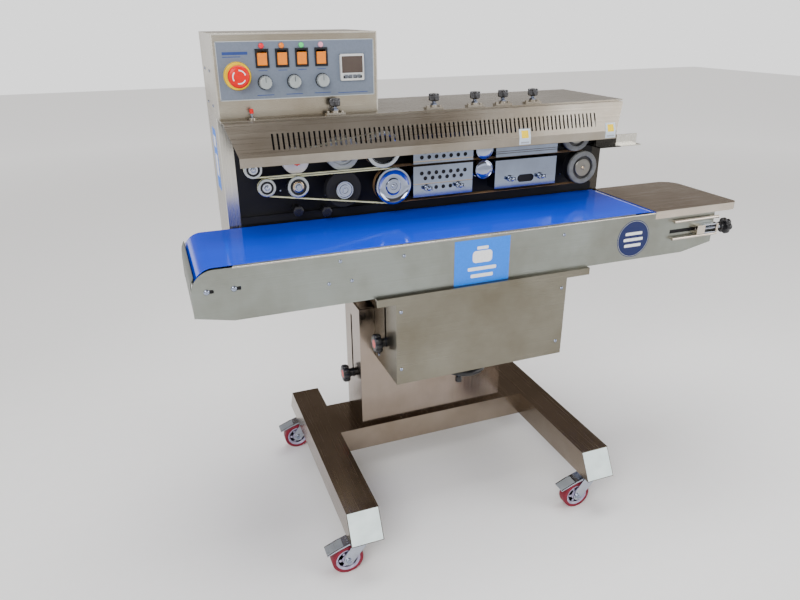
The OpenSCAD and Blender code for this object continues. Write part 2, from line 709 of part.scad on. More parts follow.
// Blocks hang on two stand-offs each
module block(x, z0, z1, screws_z) {
    span([x[0], mech_y, z0], [x[1], mech_y + block_d, z1]);
    for (f = [0.25, 0.75])
        ycyl(7, mech_y + block_d - 1, head_front, x[0] + f * (x[1] - x[0]), (z0 + z1) / 2);
}
hole_depth = 12;
module hole_row(n, x_mid, z) {
    for (i = [0 : n - 1])
        ycyl(cooling_hole_d / 2, mech_y - 1, mech_y + hole_depth, x_mid + (i - (n - 1) / 2) * hole_pitch, z);
}
module thumb_screw(x, z) {
    ycyl(4, mech_y - 4, mech_y + 5, x, z);
    difference() {
        ycyl(8, mech_y - 14, mech_y - 3, x, z);
        for (side = [-1, 1]) span([x - 9, mech_y - 15, z + side * 5.5 - 2.5], [x + 9, mech_y - 7, z + side * 5.5 + 2.5]);
    }
}
module lower_blocks() {
    top = seal_z - block_gap / 2;
    cool_mid = (cool_x[0] + cool_x[1]) / 2;
    heat_mid = (heat_x[0] + heat_x[1]) / 2;
    color("lightsteelblue") {
        difference() {
            block(cool_x, top - 78, top);
            hole_row(7, cool_mid, top - 18);
            hole_row(6, cool_mid, top - 31);
            hole_row(3, cool_mid, top - 56);
            span([cool_x[0] - 1, mech_y - 1, top - 46], [cool_x[1] + 1, mech_y + 2, top - 44]);
        }
        for (dx = [-44, 44]) thumb_screw(cool_mid + dx, top - 56);
        difference() {
            block(heat_x, top - 77, top - 3);
            for (dx = [-15, 15]) ycyl(10, mech_y - 1, mech_y + 18, heat_mid + dx, top - 55);
            span([heat_mid - 15, mech_y - 1, top - 65], [heat_mid + 15, mech_y + 18, top - 45]);
        }
        for (dx = [-46, 46]) thumb_screw(heat_mid + dx, top - 53);
    }
}
module upper_blocks() {
    bot = seal_z + block_gap / 2;
    cool_mid = (cool_x[0] + cool_x[1]) / 2;
    color("lightsteelblue") {
        difference() {
            block(cool_x, bot, bot + 72);
            hole_row(7, cool_mid, bot + 16);
            hole_row(6, cool_mid, bot + 29);
            span([cool_x[0] - 1, mech_y - 1, bot + 5], [cool_x[1] + 1, mech_y + 2, bot + 7]);
        }
        difference() {
            block(heat_x, bot, bot + 72);
            for (dz = [8, 13, 24]) span([heat_x[0] - 1, mech_y - 1, bot + dz], [heat_x[1] + 1, mech_y + 2, bot + dz + 2]);
        }
    }
}
band_y = mech_y + 16;                        // front edge of the sealing bands
guide_y = mech_y + 5;                        // front edge of the guide belts
band_t = 0.8;
guide_t = 2.5;
module pair_loop(left, right, sink, t, y0, w) {
    belt_loop(wheel_at(left), wheel_r_of(left) - sink + face_gap,
        wheel_at(right), wheel_r_of(right) - sink + face_gap, t, y0, y0 + w);
}
band_sink = band_t + face_gap + 0.1;         // depth of the land that a band runs on
guide_sink = guide_t + face_gap + 0.1;
module bands() {
    color("tan") {
        pair_loop("band_wheel_lower", "end_wheel_lower", band_sink, band_t, band_y, band_w);
        pair_loop("band_wheel_upper", "end_wheel_upper", band_sink, band_t, band_y, band_w);
    }
    color("khaki") {
        pair_loop("guide_pulley_lower", "band_wheel_lower", guide_sink, guide_t, guide_y, guide_w);
        pair_loop("guide_pulley_upper", "band_wheel_upper", guide_sink, guide_t, guide_y, guide_w);
    }
}
// A wheel on its shaft: grooves are [y from mech_y, width, depth]
module wheel(name, grooves, width) {
    c = wheel_at(name);
    r = wheel_r_of(name);
    translate([c[0], 0, c[1]]) {
        difference() {
            ycyl(r, mech_y + 1, mech_y + width);
            for (g = grooves) difference() {
                ycyl(r + 1, mech_y + g[0] - 0.6, mech_y + g[0] + g[1] + 0.6);
                ycyl(r - g[2], mech_y + g[0] - 1, mech_y + g[0] + g[1] + 1);
            }
            difference() {
                ycyl(r - 6, mech_y, mech_y + 4);
                ycyl(max(shaft_r + 4, r * 0.45), mech_y - 1, mech_y + 5);
            }
        }
        ycyl(shaft_r + 4, mech_y + width - 1, head_front - 1);
        ycyl(shaft_r, mech_y, boss_y + 6);
    }
}
band_groove = [band_y - mech_y, band_w, band_sink];
guide_groove = [guide_y - mech_y, guide_w, guide_sink];
module band_wheel_lower() {
    color("aliceblue") wheel("band_wheel_lower", [guide_groove, band_groove], 36);
}
module band_wheel_upper() {
    color("aliceblue") wheel("band_wheel_upper", [guide_groove, band_groove], 36);
}
module end_wheel_lower() {
    color("gray") wheel("end_wheel_lower", [band_groove], 36);
}
module end_wheel_upper() {
    color("gray") wheel("end_wheel_upper", [band_groove], 36);
}
module press_wheel_lower() {
    color("aliceblue") press_wheel("press_wheel_lower");
}
module press_wheel_upper() {
    color("aliceblue") press_wheel("press_wheel_upper");
}
// Press wheels bear on the bands, so they are relieved there
module press_wheel(name) {
    wheel(name, [band_groove], 34);
}
// A roller whose disc runs behind the guide belt, with a hub in front of it
module set_back_roller(name, hub_r) {
    c = wheel_at(name);
    y0 = guide_y + guide_w + 2;
    ycyl(wheel_r_of(name), y0, y0 + 24, c[0], c[1]);
    ycyl(hub_r, mech_y + 1, y0 + 1, c[0], c[1]);
    ycyl(shaft_r, mech_y, boss_y + 6, c[0], c[1]);
    ycyl(shaft_r + 4, y0 + 23, head_front - 1, c[0], c[1]);
}
module rubber_roller() {
    color("black") set_back_roller("rubber_roller", 22);
}
module counter_roller() {
    color("gainsboro") set_back_roller("counter_roller", 18);
}
module feed_roller_lower() {
    color("gainsboro") wheel("feed_roller_lower", [guide_groove], 24);
}
module feed_roller_upper() {
    color("white") set_back_roller("feed_roller_upper", 12);
}
module guide_pulley_lower() {
    color("gainsboro") wheel("guide_pulley_lower", [guide_groove], 22);
}
module guide_pulley_upper() {
    color("gainsboro") wheel("guide_pulley_upper", [guide_groove], 22);
}

// ---------- Control box ----------
cbox_l = head_l;
cbox_top = head_top + cbox_h + 1;
rocker_x = [for (i = [0 : 3]) cbox_l + 107 + i * 44.7];
rocker_z = head_top + 127.5;
dial_x = [for (i = [0 : 2]) cbox_l + 109 + i * 66];
dial_z = head_top + 76.5;
stop_x = cbox_l + 50;
stop_z = head_top + 92;
meter_x = cbox_l + 284;
meter_z = head_top + 74;
meter_s = 57;
pivot_y = cbox_y + 6;
rocker_hole = [22, 32];                      // cut-out of a rocker switch
rocker_frame = [30, 40];
lamp_r = 5.5;
// A block of a rocker's outline, from y0 to y1
module window(x, size, y0, y1) {
    span([x - size[0] / 2, y0, rocker_z - size[1] / 2], [x + size[0] / 2, y1, rocker_z + size[1] / 2]);
}
module control_box() {
    w = 1.5;
    color("silver") difference() {
        span([cbox_l, cbox_y, head_top], [cbox_l + cbox_w, y_back, cbox_top]);
        span([cbox_l + w, cbox_y + w, head_top - 1], [cbox_l + cbox_w - w, y_back - w, cbox_top - w]);
        for (x = rocker_x) window(x, rocker_hole, cbox_y - 1, cbox_y + 3);
        ycyl(8, cbox_y - 1, cbox_y + 3, stop_x, stop_z);
        for (x = dial_x) ycyl(5, cbox_y - 1, cbox_y + 3, x, dial_z);
    }
}
// Overlay, rocker frames, lamps, stop ring and temperature controller
module control_panel() {
    y1 = cbox_y;
    y0 = cbox_y - panel_skin;
    color("steelblue") difference() {
        span([cbox_l + 8, y0, head_top + 40], [cbox_l + cbox_w - 9, y1, head_top + 164]);
        for (x = rocker_x) window(x, rocker_hole, y0 - 1, y1 + 1);
        ycyl(8, y0 - 1, y1 + 1, stop_x, stop_z);
        for (x = dial_x) ycyl(5, y0 - 1, y1 + 1, x, dial_z);
    }
    color("black") for (x = rocker_x) difference() {
        window(x, rocker_frame, y0 - 2.5, y0);
        window(x, rocker_hole, y0 - 4, y0 + 1);
    }
    color("orange") for (x = rocker_x) ycyl(lamp_r, y0 - 2, y0, x, rocker_z + 26);
    color("gold") difference() {
        ycyl(30, y0 - 3, y0, stop_x, stop_z);
        ycyl(8, y0 - 4, y0 + 1, stop_x, stop_z);
    }
    color("gainsboro") {
        difference() {
            span([meter_x, y0 - 7, meter_z], [meter_x + meter_s, y0, meter_z + meter_s + 1]);
            span([meter_x + 5, y0 - 8, meter_z + 16], [meter_x + meter_s - 5, y0 - 5, meter_z + meter_s - 5]);
        }
        for (i = [0 : 3]) span([meter_x + 6 + i * 12, y0 - 8, meter_z + 5], [meter_x + 15 + i * 12, y0 - 6, meter_z + 11]);
    }
}
module emergency_stop() {
    y0 = cbox_y - panel_skin;
    r = stop_d / 2;
    color("red") translate([stop_x, y0 - 12, stop_z]) rotate([90, 0, 0]) rotate_extrude() polygon([
        [0, 0], [r - 5, 0], [r - 2, 3], [r, 8], [r - 1, 12], [r - 7, 15], [0, 16]]);
    color("darkred") ycyl(7, y0 - 13, cbox_y + 20, stop_x, stop_z);
}
rocker_tilt = 8;
module rocker(i) {
    color("orangered") translate([rocker_x[i], pivot_y, rocker_z]) rotate([rocker_tilt, 0, 0])
        yz_plate(-10.5, 10.5) polygon([[-12.5, 13.3], [-10, 0], [-12.5, -13.3], [3, -9], [3, 9]]);
}
module rocker_1() {
    rocker(0);
}
module rocker_2() {
    rocker(1);
}
module rocker_3() {
    rocker(2);
}
module rocker_4() {
    rocker(3);
}
module dial(i) {
    y0 = cbox_y - panel_skin - face_gap;
    color("darkgray") {
        ycyl(dial_d / 2 + 1.5, y0 - 5, y0, dial_x[i], dial_z);
        difference() {
            ycyl(dial_d / 2, y0 - 17, y0 - 4, dial_x[i], dial_z);
            span([dial_x[i] - 0.7, y0 - 18, dial_z], [dial_x[i] + 0.7, y0 - 16, dial_z + dial_d / 2 + 1]);
        }
        ycyl(3, y0 - 1, cbox_y + 12, dial_x[i], dial_z);
    }
}
module dial_1() {
    dial(0);
}
module dial_2() {
    dial(1);
}
module dial_3() {
    dial(2);
}
// Ribbed knob on the stem that sets a spring's pressure
module pressure_knob(i) {
    z0 = head_top + 19;
    color("black") translate([pressure_x[i], knob_y, 0]) {
        difference() {
            zcyl(13, z0, z0 + 18);
            for (a = [0 : 30 : 330]) zcyl(1.6, z0 - 1, z0 + 19, 13.6 * cos(a), 13.6 * sin(a));
        }
    }
    color("silver") zcyl(stem_r, head_top - 32, z0 + 1, pressure_x[i], knob_y);
}
module pressure_knob_1() {
    pressure_knob(0);
}
module pressure_knob_2() {
    pressure_knob(1);
}
module pressure_knob_3() {
    pressure_knob(2);
}
module pressure_knob_4() {
    pressure_knob(3);
}
module pressure_knob_5() {
    pressure_knob(4);
}
module shift_lever() {
    z0 = head_top + 1;
    color("silver") {
        ycyl(2.6, knob_y - 3.2, knob_y + 3.2, lever_x, z0);
        zcyl(2.2, z0, z0 + 14, lever_x, knob_y);
    }
    color("red") zcyl(4.5, z0 + 12, z0 + 22, lever_x, knob_y);
}

module caster_fork_front_left() {
    caster_fork(caster_at[0]);
}
module caster_fork_front_right() {
    caster_fork(caster_at[1]);
}
module caster_fork_rear_left() {
    caster_fork(caster_at[2]);
}
module caster_fork_rear_right() {
    caster_fork(caster_at[3]);
}
module caster_wheel_front_left() {
    caster_wheel(caster_at[0]);
}
module caster_wheel_front_right() {
    caster_wheel(caster_at[1]);
}
module caster_wheel_rear_left() {
    caster_wheel(caster_at[2]);
}
module caster_wheel_rear_right() {
    caster_wheel(caster_at[3]);
}

foot_frame();
column();
caster_plates();
caster_fork_front_left();
caster_fork_front_right();
caster_fork_rear_left();
caster_fork_rear_right();
caster_wheel_front_left();
caster_wheel_front_right();
caster_wheel_rear_left();
caster_wheel_rear_right();
mast();
mast_lock_knob();
conveyor_lock_knob();
carriage_box();
handwheel();
front_panel();
rear_panel();
conveyor_belt();
drive_roller();
idler_roller();
end_plate();
tension_knob();
head_case();
mechanism_plate();
corner_posts();
top_plate();
guard();
drive_motor();
lower_blocks();
upper_blocks();
bands();
band_wheel_lower();
band_wheel_upper();
end_wheel_lower();
end_wheel_upper();
press_wheel_lower();
press_wheel_upper();
rubber_roller();
counter_roller();
feed_roller_lower();
feed_roller_upper();
guide_pulley_lower();
guide_pulley_upper();
control_box();
control_panel();
emergency_stop();
rocker_1();
rocker_2();
rocker_3();
rocker_4();
dial_1();
dial_2();
dial_3();
pressure_knob_1();
pressure_knob_2();
pressure_knob_3();
pressure_knob_4();
pressure_knob_5();
shift_lever();
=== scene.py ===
import math

import bmesh
import bpy
from mathutils import Matrix, Vector


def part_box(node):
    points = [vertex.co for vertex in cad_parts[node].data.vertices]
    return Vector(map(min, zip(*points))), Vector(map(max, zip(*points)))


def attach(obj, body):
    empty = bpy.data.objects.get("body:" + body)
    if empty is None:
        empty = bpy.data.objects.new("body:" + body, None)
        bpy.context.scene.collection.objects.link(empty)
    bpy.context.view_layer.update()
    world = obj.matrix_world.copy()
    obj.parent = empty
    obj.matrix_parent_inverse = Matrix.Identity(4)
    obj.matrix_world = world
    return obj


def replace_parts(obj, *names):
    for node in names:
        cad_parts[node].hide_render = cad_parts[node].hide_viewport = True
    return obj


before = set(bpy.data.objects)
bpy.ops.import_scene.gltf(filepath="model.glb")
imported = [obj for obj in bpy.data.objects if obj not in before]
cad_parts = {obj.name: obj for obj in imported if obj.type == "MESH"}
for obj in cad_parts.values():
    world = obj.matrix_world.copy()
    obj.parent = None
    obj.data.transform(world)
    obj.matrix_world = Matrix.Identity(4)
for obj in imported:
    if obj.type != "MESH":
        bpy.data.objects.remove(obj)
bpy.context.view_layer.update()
MM = 0.001


# ---------------------------------------------------------------- materials
class Paint:
    """A material under construction: each call adds a node and returns its output socket."""

    def __init__(self, name, **shader):
        self.mat = bpy.data.materials.new(name)
        self.mat.use_nodes = True
        self.tree = self.mat.node_tree
        self.shader = self.tree.nodes["Principled BSDF"]
        self.set(**shader)

    def set(self, **values):
        for key, value in values.items():
            socket = self.shader.inputs[key.replace("_", " ")]
            if isinstance(value, bpy.types.NodeSocket):
                self.tree.links.new(value, socket)
            elif isinstance(value, tuple) and len(value) == 3:
                socket.default_value = (*value, 1)
            else:
                socket.default_value = value
        return self

    def node(self, kind, **inputs):
        made = self.tree.nodes.new(kind)
        for key, value in inputs.items():
            socket = made.inputs[key.replace("_", " ")]
            if isinstance(value, bpy.types.NodeSocket):
                self.tree.links.new(value, socket)
            else:
                socket.default_value = value
        return made

    def place(self, scale=(1, 1, 1)):
        """Object coordinates in metres, stretched by scale."""
        source = self.node("ShaderNodeTexCoord").outputs["Object"]
        return self.node("ShaderNodeMapping", Vector=source, Scale=scale).outputs["Vector"]

    def noise(self, size, detail, rough, stretch=(1, 1, 1)):
        made = self.node("ShaderNodeTexNoise", Vector=self.place(stretch), Scale=size, Detail=detail,
                         Roughness=rough)
        return made.outputs["Fac"]

    def axis(self, letter):
        """One object coordinate, in metres."""
        source = self.node("ShaderNodeTexCoord").outputs["Object"]
        return self.node("ShaderNodeSeparateXYZ", Vector=source).outputs[letter]

    def times(self, one, two):
        made = self.node("ShaderNodeMath", Value=one)
        made.operation = "MULTIPLY"
        self.tree.links.new(two, made.inputs[1])
        return made.outputs["Value"]

    def blend(self, factor, low, high):
        """A colour between low and high by factor."""
        made = self.node("ShaderNodeMix")
        made.data_type = "RGBA"
        self.tree.links.new(factor, made.inputs["Factor"])
        for socket, value in ((made.inputs[6], low), (made.inputs[7], high)):
            if isinstance(value, bpy.types.NodeSocket):
                self.tree.links.new(value, socket)
            else:
                socket.default_value = (*value, 1)
        return made.outputs[2]

    def between(self, factor, low, high, start=0.3, end=0.7):
        """A number from low to high as factor goes from start to end."""
        made = self.node("ShaderNodeMapRange", Value=factor)
        for key, value in (("From Min", start), ("From Max", end), ("To Min", low), ("To Max", high)):
            made.inputs[key].default_value = value
        return made.outputs["Result"]

    def bump(self, height, strength, distance):
        made = self.node("ShaderNodeBump", Height=height, Strength=strength, Distance=distance)
        self.set(Normal=made.outputs["Normal"])
        return self


def shade(colour, factor):
    return tuple(min(1.0, channel * factor) for channel in colour)


GRAIN = {"x": (2.5, 900, 900), "y": (900, 2.5, 900), "z": (900, 900, 2.5)}


def brushed(name, colour, grain, rough):
    """Brushed stainless sheet: fine streaks along one axis, soft smudges, and slow warm-dark to bright tone
    patches that are painted reflections.
    """
    paint = Paint(name, Metallic=1.0)
    streaks = paint.noise(1.0, 5, 0.65, GRAIN[grain])
    smudge_and_reflection = paint.noise(4.5, 4, 0.6)
    # painted reflection: slow patches between a warm dark tone and a bright tone, driven by the smudge
    # noise
    warm = tuple(channel * factor for channel, factor in zip(shade(colour, 0.78), (1.06, 0.99, 0.90)))
    tone = paint.blend(paint.between(smudge_and_reflection, 0, 1, 0.35, 0.65), warm, shade(colour, 1.20))
    fine = paint.blend(paint.between(streaks, 0, 0.4), tone, shade(colour, 0.86))
    paint.set(Base_Color=fine, Roughness=paint.between(streaks, rough - 0.06, rough + 0.10))
    return paint.bump(streaks, 0.05, 0.0004).mat


def polished(name, colour, rough=0.08, metallic=1.0):
    """Plated or turned metal with faint turning marks and a few dull spots."""
    paint = Paint(name, Metallic=metallic)
    spots = paint.noise(160.0, 3, 0.6)
    slow = paint.noise(18.0, 2, 0.5)
    paint.set(Base_Color=paint.blend(paint.between(slow, 0, 1), shade(colour, 0.88), colour),
              Roughness=paint.between(spots, rough, rough + 0.12, 0.45, 0.75))
    return paint.bump(spots, 0.02, 0.0002).mat


def plastic(name, colour, rough=0.35, texture=600.0, strength=0.08, coat=0.0, shine=0.4):
    """Moulded plastic with a fine spark-eroded grain."""
    paint = Paint(name, Coat_Weight=coat, Coat_Roughness=0.08, Specular_IOR_Level=shine)
    grain = paint.noise(texture, 3, 0.6)
    slow = paint.noise(25.0, 2, 0.5)
    paint.set(Base_Color=paint.blend(paint.between(slow, 0, 1), shade(colour, 0.88), shade(colour, 1.08)),
              Roughness=paint.between(grain, rough - 0.05, rough + 0.1))
    return paint.bump(grain, strength, 0.0002).mat


def painted(name, colour, rough=0.4):
    """Powder coat: orange-peel bump and dusty patches."""
    paint = Paint(name, Specular_IOR_Level=0.22)
    peel = paint.noise(420.0, 2, 0.5)
    dust = paint.noise(14.0, 5, 0.65)
    paint.set(Base_Color=paint.blend(paint.between(dust, 0, 1, 0.45, 0.8), colour, shade(colour, 1.9)),
              Roughness=paint.between(dust, rough, rough + 0.18))
    return paint.bump(peel, 0.12, 0.0003).mat


def rubber(name, colour, rough=0.6):
    """Rubber with a dull bloom and scuffs."""
    paint = Paint(name, Specular_IOR_Level=0.25)
    bloom = paint.noise(60.0, 5, 0.7)
    paint.set(Base_Color=paint.blend(paint.between(bloom, 0, 1), shade(colour, 0.8), shade(colour, 1.5)),
              Roughness=paint.between(bloom, rough - 0.1, rough + 0.15))
    return paint.bump(bloom, 0.15, 0.0004).mat


def belting(name, colour):
    """Glossy PVC belt: a fine cross weave shows through, with faint scuffs along the running direction."""
    paint = Paint(name, Specular_IOR_Level=0.42)
    weave = paint.noise(1.0, 2, 0.5, (700, 700, 700))
    scuffs = paint.noise(1.0, 5, 0.7, (1.5, 60, 60))
    slow = paint.noise(1.0, 2, 0.5, (3, 6, 6))
    tone = paint.blend(paint.between(slow, 0, 1), shade(colour, 0.90), shade(colour, 1.10))
    paint.set(Base_Color=paint.blend(paint.between(scuffs, 0, 0.08, 0.55, 0.8), tone, (0.10, 0.30, 0.85)),
              Roughness=paint.between(scuffs, 0.07, 0.13))
    return paint.bump(weave, 0.015, 0.0002).mat


def webbing(name, colour, rough=0.5):
    """Coated glass-fibre band: a tight plain weave under a waxy coat."""
    paint = Paint(name)
    waves = [paint.node("ShaderNodeTexWave", Vector=paint.place(scale), Scale=1.0) for scale in
             ((900, 0, 900), (0, 1100, 0))]
    cross = paint.times(waves[0].outputs["Fac"], waves[1].outputs["Fac"])
    stain = paint.noise(45.0, 4, 0.6)
    paint.set(Base_Color=paint.blend(paint.between(stain, 0, 1), shade(colour, 0.78), shade(colour, 1.1)),
              Roughness=paint.between(stain, rough - 0.1, rough + 0.15))
    return paint.bump(cross, 0.15, 0.0003).mat


def lens(name, colour, glow=0.15):
    """Translucent lamp cap, faintly lit from inside."""
    paint = Paint(name, Roughness=0.22, Coat_Weight=0.15, Coat_Roughness=0.05, Specular_IOR_Level=0.3,
                  Emission_Color=colour, Emission_Strength=glow)
    cells = paint.node("ShaderNodeTexVoronoi", Vector=paint.place((1, 1, 1)),
                       Scale=900.0).outputs["Distance"]
    paint.set(Base_Color=paint.blend(cells, shade(colour, 0.75), colour))
    return paint.bump(cells, 0.2, 0.0003).mat


def printed(name, colour, rough=0.45):
    """Printed film or sticker with a slightly uneven ink."""
    paint = Paint(name, Specular_IOR_Level=0.3)
    ink = paint.noise(220.0, 4, 0.6)
    paint.set(Base_Color=paint.blend(paint.between(ink, 0, 1), shade(colour, 0.94), shade(colour, 1.05)),
              Roughness=paint.between(ink, rough - 0.05, rough + 0.08))
    return paint.bump(ink, 0.03, 0.0001).mat


def reflection_end_panel(name, colour, dark, edge_x):
    """Brushed sheet whose turned end, left of edge_x, gets a dull green-grey painted reflection."""
    paint = Paint(name, Metallic=1.0)
    streaks = paint.noise(1.0, 5, 0.65, GRAIN["x"])
    smudge_and_reflection = paint.noise(4.5, 4, 0.6)
    # painted reflection: slow tone patches as in brushed(), and the dull green-grey on the turned end left
    # of edge_x
    tone = paint.blend(paint.between(smudge_and_reflection, 0, 1), shade(colour, 0.78), shade(colour, 1.2))
    bright = paint.between(paint.axis("X"), 0, 1, edge_x - 1 * MM, edge_x + 1 * MM)
    paint.set(Base_Color=paint.blend(bright, dark, tone), Roughness=paint.between(streaks, 0.26, 0.42))
    return paint.bump(streaks, 0.05, 0.0004).mat


def two_posts(name, bright, dark, low_end, right_end):
    """Bright sheet, but dark below low_end on the right post, which ends at right_end."""
    paint = Paint(name, Metallic=1.0)
    streaks = paint.noise(1.0, 5, 0.65, GRAIN["z"])
    below = paint.between(paint.axis("Z"), 1, 0, low_end, low_end + 1 * MM)
    inside = paint.between(paint.axis("X"), 1, 0, right_end, right_end + 1 * MM)
    right = paint.times(paint.times(paint.between(paint.axis("X"), 0, 1, 0, 1 * MM), below), inside)
    tone = paint.blend(paint.between(streaks, 0, 0.4), bright, shade(bright, 0.72))
    paint.set(Base_Color=paint.blend(right, tone, dark), Roughness=paint.between(streaks, 0.18, 0.34))
    return paint.bump(streaks, 0.05, 0.0004).mat


def film_over_black(name, film, black, face_y):
    """Printed film where the panel is flat, black plastic on the frames that stand out of it."""
    paint = Paint(name, Specular_IOR_Level=0.3)
    ink = paint.noise(220.0, 4, 0.6)
    tone = paint.blend(paint.between(ink, 0, 1), shade(film, 0.94), shade(film, 1.05))
    flat = paint.between(paint.axis("Y"), 0, 1, face_y - 0.5 * MM, face_y - 0.3 * MM)
    paint.set(Base_Color=paint.blend(flat, black, tone), Roughness=paint.between(ink, 0.34, 0.46))
    return paint.bump(ink, 0.03, 0.0001).mat


STEEL = {
    "frame": brushed("steel_frame", (0.28, 0.235, 0.19), "y", 0.20),
    "column": brushed("steel_column", (0.27, 0.225, 0.19), "z", 0.18),
    "box": brushed("steel_box", (0.19, 0.18, 0.145), "x", 0.30),
    "panel": brushed("steel_panel", (0.25, 0.27, 0.25), "x", 0.32),
    "reflection_end": reflection_end_panel("steel_rear_panel", (0.25, 0.27, 0.25), (0.075, 0.090, 0.070),
                             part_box("rear_panel")[0].x + 0.022),
    "plate": brushed("steel_plate", (0.55, 0.50, 0.44), "x", 0.20),
    "head": brushed("steel_head", (0.38, 0.355, 0.31), "x", 0.26),
    "guard": brushed("steel_guard", (0.32, 0.295, 0.255), "x", 0.30),
    "post": brushed("steel_post", (0.62, 0.60, 0.54), "z", 0.22),
    "posts": two_posts("steel_posts", (0.62, 0.60, 0.54), (0.035, 0.033, 0.030),
                       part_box("guard")[0].z + 5 * MM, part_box("head_case")[1].x + 1 * MM),
    "cbox": brushed("steel_control_box", (0.38, 0.35, 0.29), "x", 0.28),
    # the bluish tint of the block steel is a painted reflection of the blue belt
    "block": brushed("steel_block", (0.25, 0.30, 0.41), "x", 0.10),
}
CHROME = polished("chrome", (0.31, 0.35, 0.46), 0.05)
DARK_CHROME = polished("dark_chrome", (0.10, 0.10, 0.105), 0.10)
TURNED = polished("turned_aluminium", (0.38, 0.41, 0.44), 0.20)
WORN_STEEL = polished("worn_steel", (0.20, 0.195, 0.18), 0.30)
ZINC = polished("zinc_plate", (0.46, 0.49, 0.57), 0.20)
DARK_METAL = polished("dark_metal", (0.12, 0.12, 0.13), 0.35)
BRASS = polished("warm_hub", (0.48, 0.38, 0.26), 0.18)
BLACK_PAINT = painted("black_paint", (0.006, 0.006, 0.007), 0.5)
MOTOR_PAINT = painted("motor_paint", (0.10, 0.13, 0.17), 0.4)
KNOB = plastic("black_knob", (0.010, 0.010, 0.012), 0.30, 500.0, 0.06, 0.1)
CAP_RED = plastic("cap_red", (0.75, 0.10, 0.09), 0.35, 500.0, 0.04)
STOP_RED = plastic("stop_red", (0.74, 0.0, 0.0), 0.32, 500.0, 0.03, 0.0, 0.3)
STOP_YELLOW = plastic("stop_yellow", (0.96, 0.64, 0.0), 0.42, 600.0, 0.05, 0.0, 0.25)
WHITE = plastic("white_plastic", (0.66, 0.64, 0.64), 0.4)
KEY_GREY = plastic("key_grey", (0.10, 0.11, 0.13), 0.35)
DIAL_GREY = polished("dial_grey", (0.40, 0.44, 0.44), 0.32, 0.5)
GREY_PLASTIC = plastic("grey_plastic", (0.36, 0.39, 0.41), 0.4)
GREY_RUBBER = rubber("grey_rubber", (0.13, 0.135, 0.13), 0.6)
BLACK_RUBBER = rubber("black_rubber", (0.010, 0.010, 0.011), 0.7)
TYRE = rubber("castor_tyre", (0.17, 0.010, 0.025), 0.45)
LILAC = plastic("castor_core", (0.42, 0.39, 0.56), 0.3, 500.0, 0.04, 0.2)
PEDAL = plastic("pedal_grey", (0.24, 0.26, 0.28), 0.4)
BELT = belting("blue_belt", (0.001, 0.050, 0.68))
BAND = webbing("sealing_band", (0.22, 0.13, 0.06))
GUIDE = webbing("guide_belt", (0.62, 0.62, 0.38), 0.4)
FOOT_CAP = plastic("foot_cap", (0.78, 0.90, 0.90), 0.45, 500.0, 0.04)
FILM_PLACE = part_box("control_panel")[1].y - 1.5 * MM
FILM = film_over_black("panel_film", (0.150, 0.180, 0.235), (0.010, 0.010, 0.012), FILM_PLACE)
FILM_EDGE = printed("panel_edge", (0.42, 0.45, 0.46))
INK_WHITE = printed("ink_white", (0.84, 0.85, 0.86))
INK_BLUE = printed("ink_blue", (0.025, 0.055, 0.22))
INK_DARK = printed("ink_dark", (0.03, 0.035, 0.05))
INK_YELLOW = printed("ink_yellow", (0.95, 0.66, 0.0))
LABEL = printed("label_pale", (0.55, 0.64, 0.72))
STICKER_BLUE = printed("sticker_blue", (0.0, 0.20, 0.92))
STICKER_NAVY = printed("sticker_navy", (0.004, 0.012, 0.085))
SILVER_PLASTIC = plastic("silver_plastic", (0.58, 0.59, 0.58), 0.35, 500.0, 0.04, 0.1)
DISPLAY = plastic("display_window", (0.060, 0.040, 0.030), 0.16, 300.0, 0.01, 0.2)
LAMP_COLOURS = {"red": (0.80, 0.012, 0.03), "amber": (0.86, 0.22, 0.01), "green": (0.06, 0.66, 0.18),
                "pink": (0.80, 0.34, 0.46)}
LAMPS = [lens("lamp_" + name, colour) for name, colour in LAMP_COLOURS.items()]
LAMP_RIMS = [plastic("rim_" + name, shade(colour, 0.5)) for name, colour in LAMP_COLOURS.items()]
ROCKER = lens("rocker_orange", (0.86, 0.23, 0.006), 0.22)


# ---------------------------------------------------------------- making pieces, in millimetres
def finish_piece(mesh, name, material, body, slot, bevel=0.0, smooth=40):
    """Turns a mesh into a piece that rides on a body."""
    piece = bpy.data.objects.new(name, mesh)
    bpy.context.scene.collection.objects.link(piece)
    mesh.materials.append(material)
    mesh.shade_smooth()
    mesh.set_sharp_from_angle(angle=math.radians(smooth))
    if bevel:
        add_bevel(piece, bevel)
    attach(piece, body)
    return piece


def add_bevel(piece, width, angle=40):
    edge = piece.modifiers.new("soft_edges", "BEVEL")
    edge.width = width * MM
    edge.segments = 2
    edge.limit_method = "ANGLE"
    edge.angle_limit = math.radians(angle)
    edge.harden_normals = True


def from_bmesh(work, name, **keys):
    bmesh.ops.recalc_face_normals(work, faces=work.faces)
    bmesh.ops.scale(work, vec=(MM, MM, MM), verts=work.verts)
    mesh = bpy.data.meshes.new(name)
    work.to_mesh(mesh)
    work.free()
    return finish_piece(mesh, name, **keys)


def slab(name, low, high, material, body, slot, bevel=0.5):
    """A box between two corners, with softened edges."""
    work = bmesh.new()
    bmesh.ops.create_cube(work, size=1)
    low, high = Vector(low), Vector(high)
    for v in work.verts:
        v.co = Vector(((low[i] + high[i]) / 2 + v.co[i] * (high[i] - low[i])) for i in range(3))
    return from_bmesh(work, name, material=material, body=body, slot=slot, bevel=bevel)


def turn_basis(axis):
    """Columns that send (radius cos, radius sin, along) to the frame for a lathe along one axis."""
    return {"x": Matrix(((0, 0, 1), (1, 0, 0), (0, 1, 0))),
            "y": Matrix(((1, 0, 0), (0, 0, 1), (0, 1, 0))),
            "z": Matrix(((1, 0, 0), (0, 1, 0), (0, 0, 1)))}[axis]


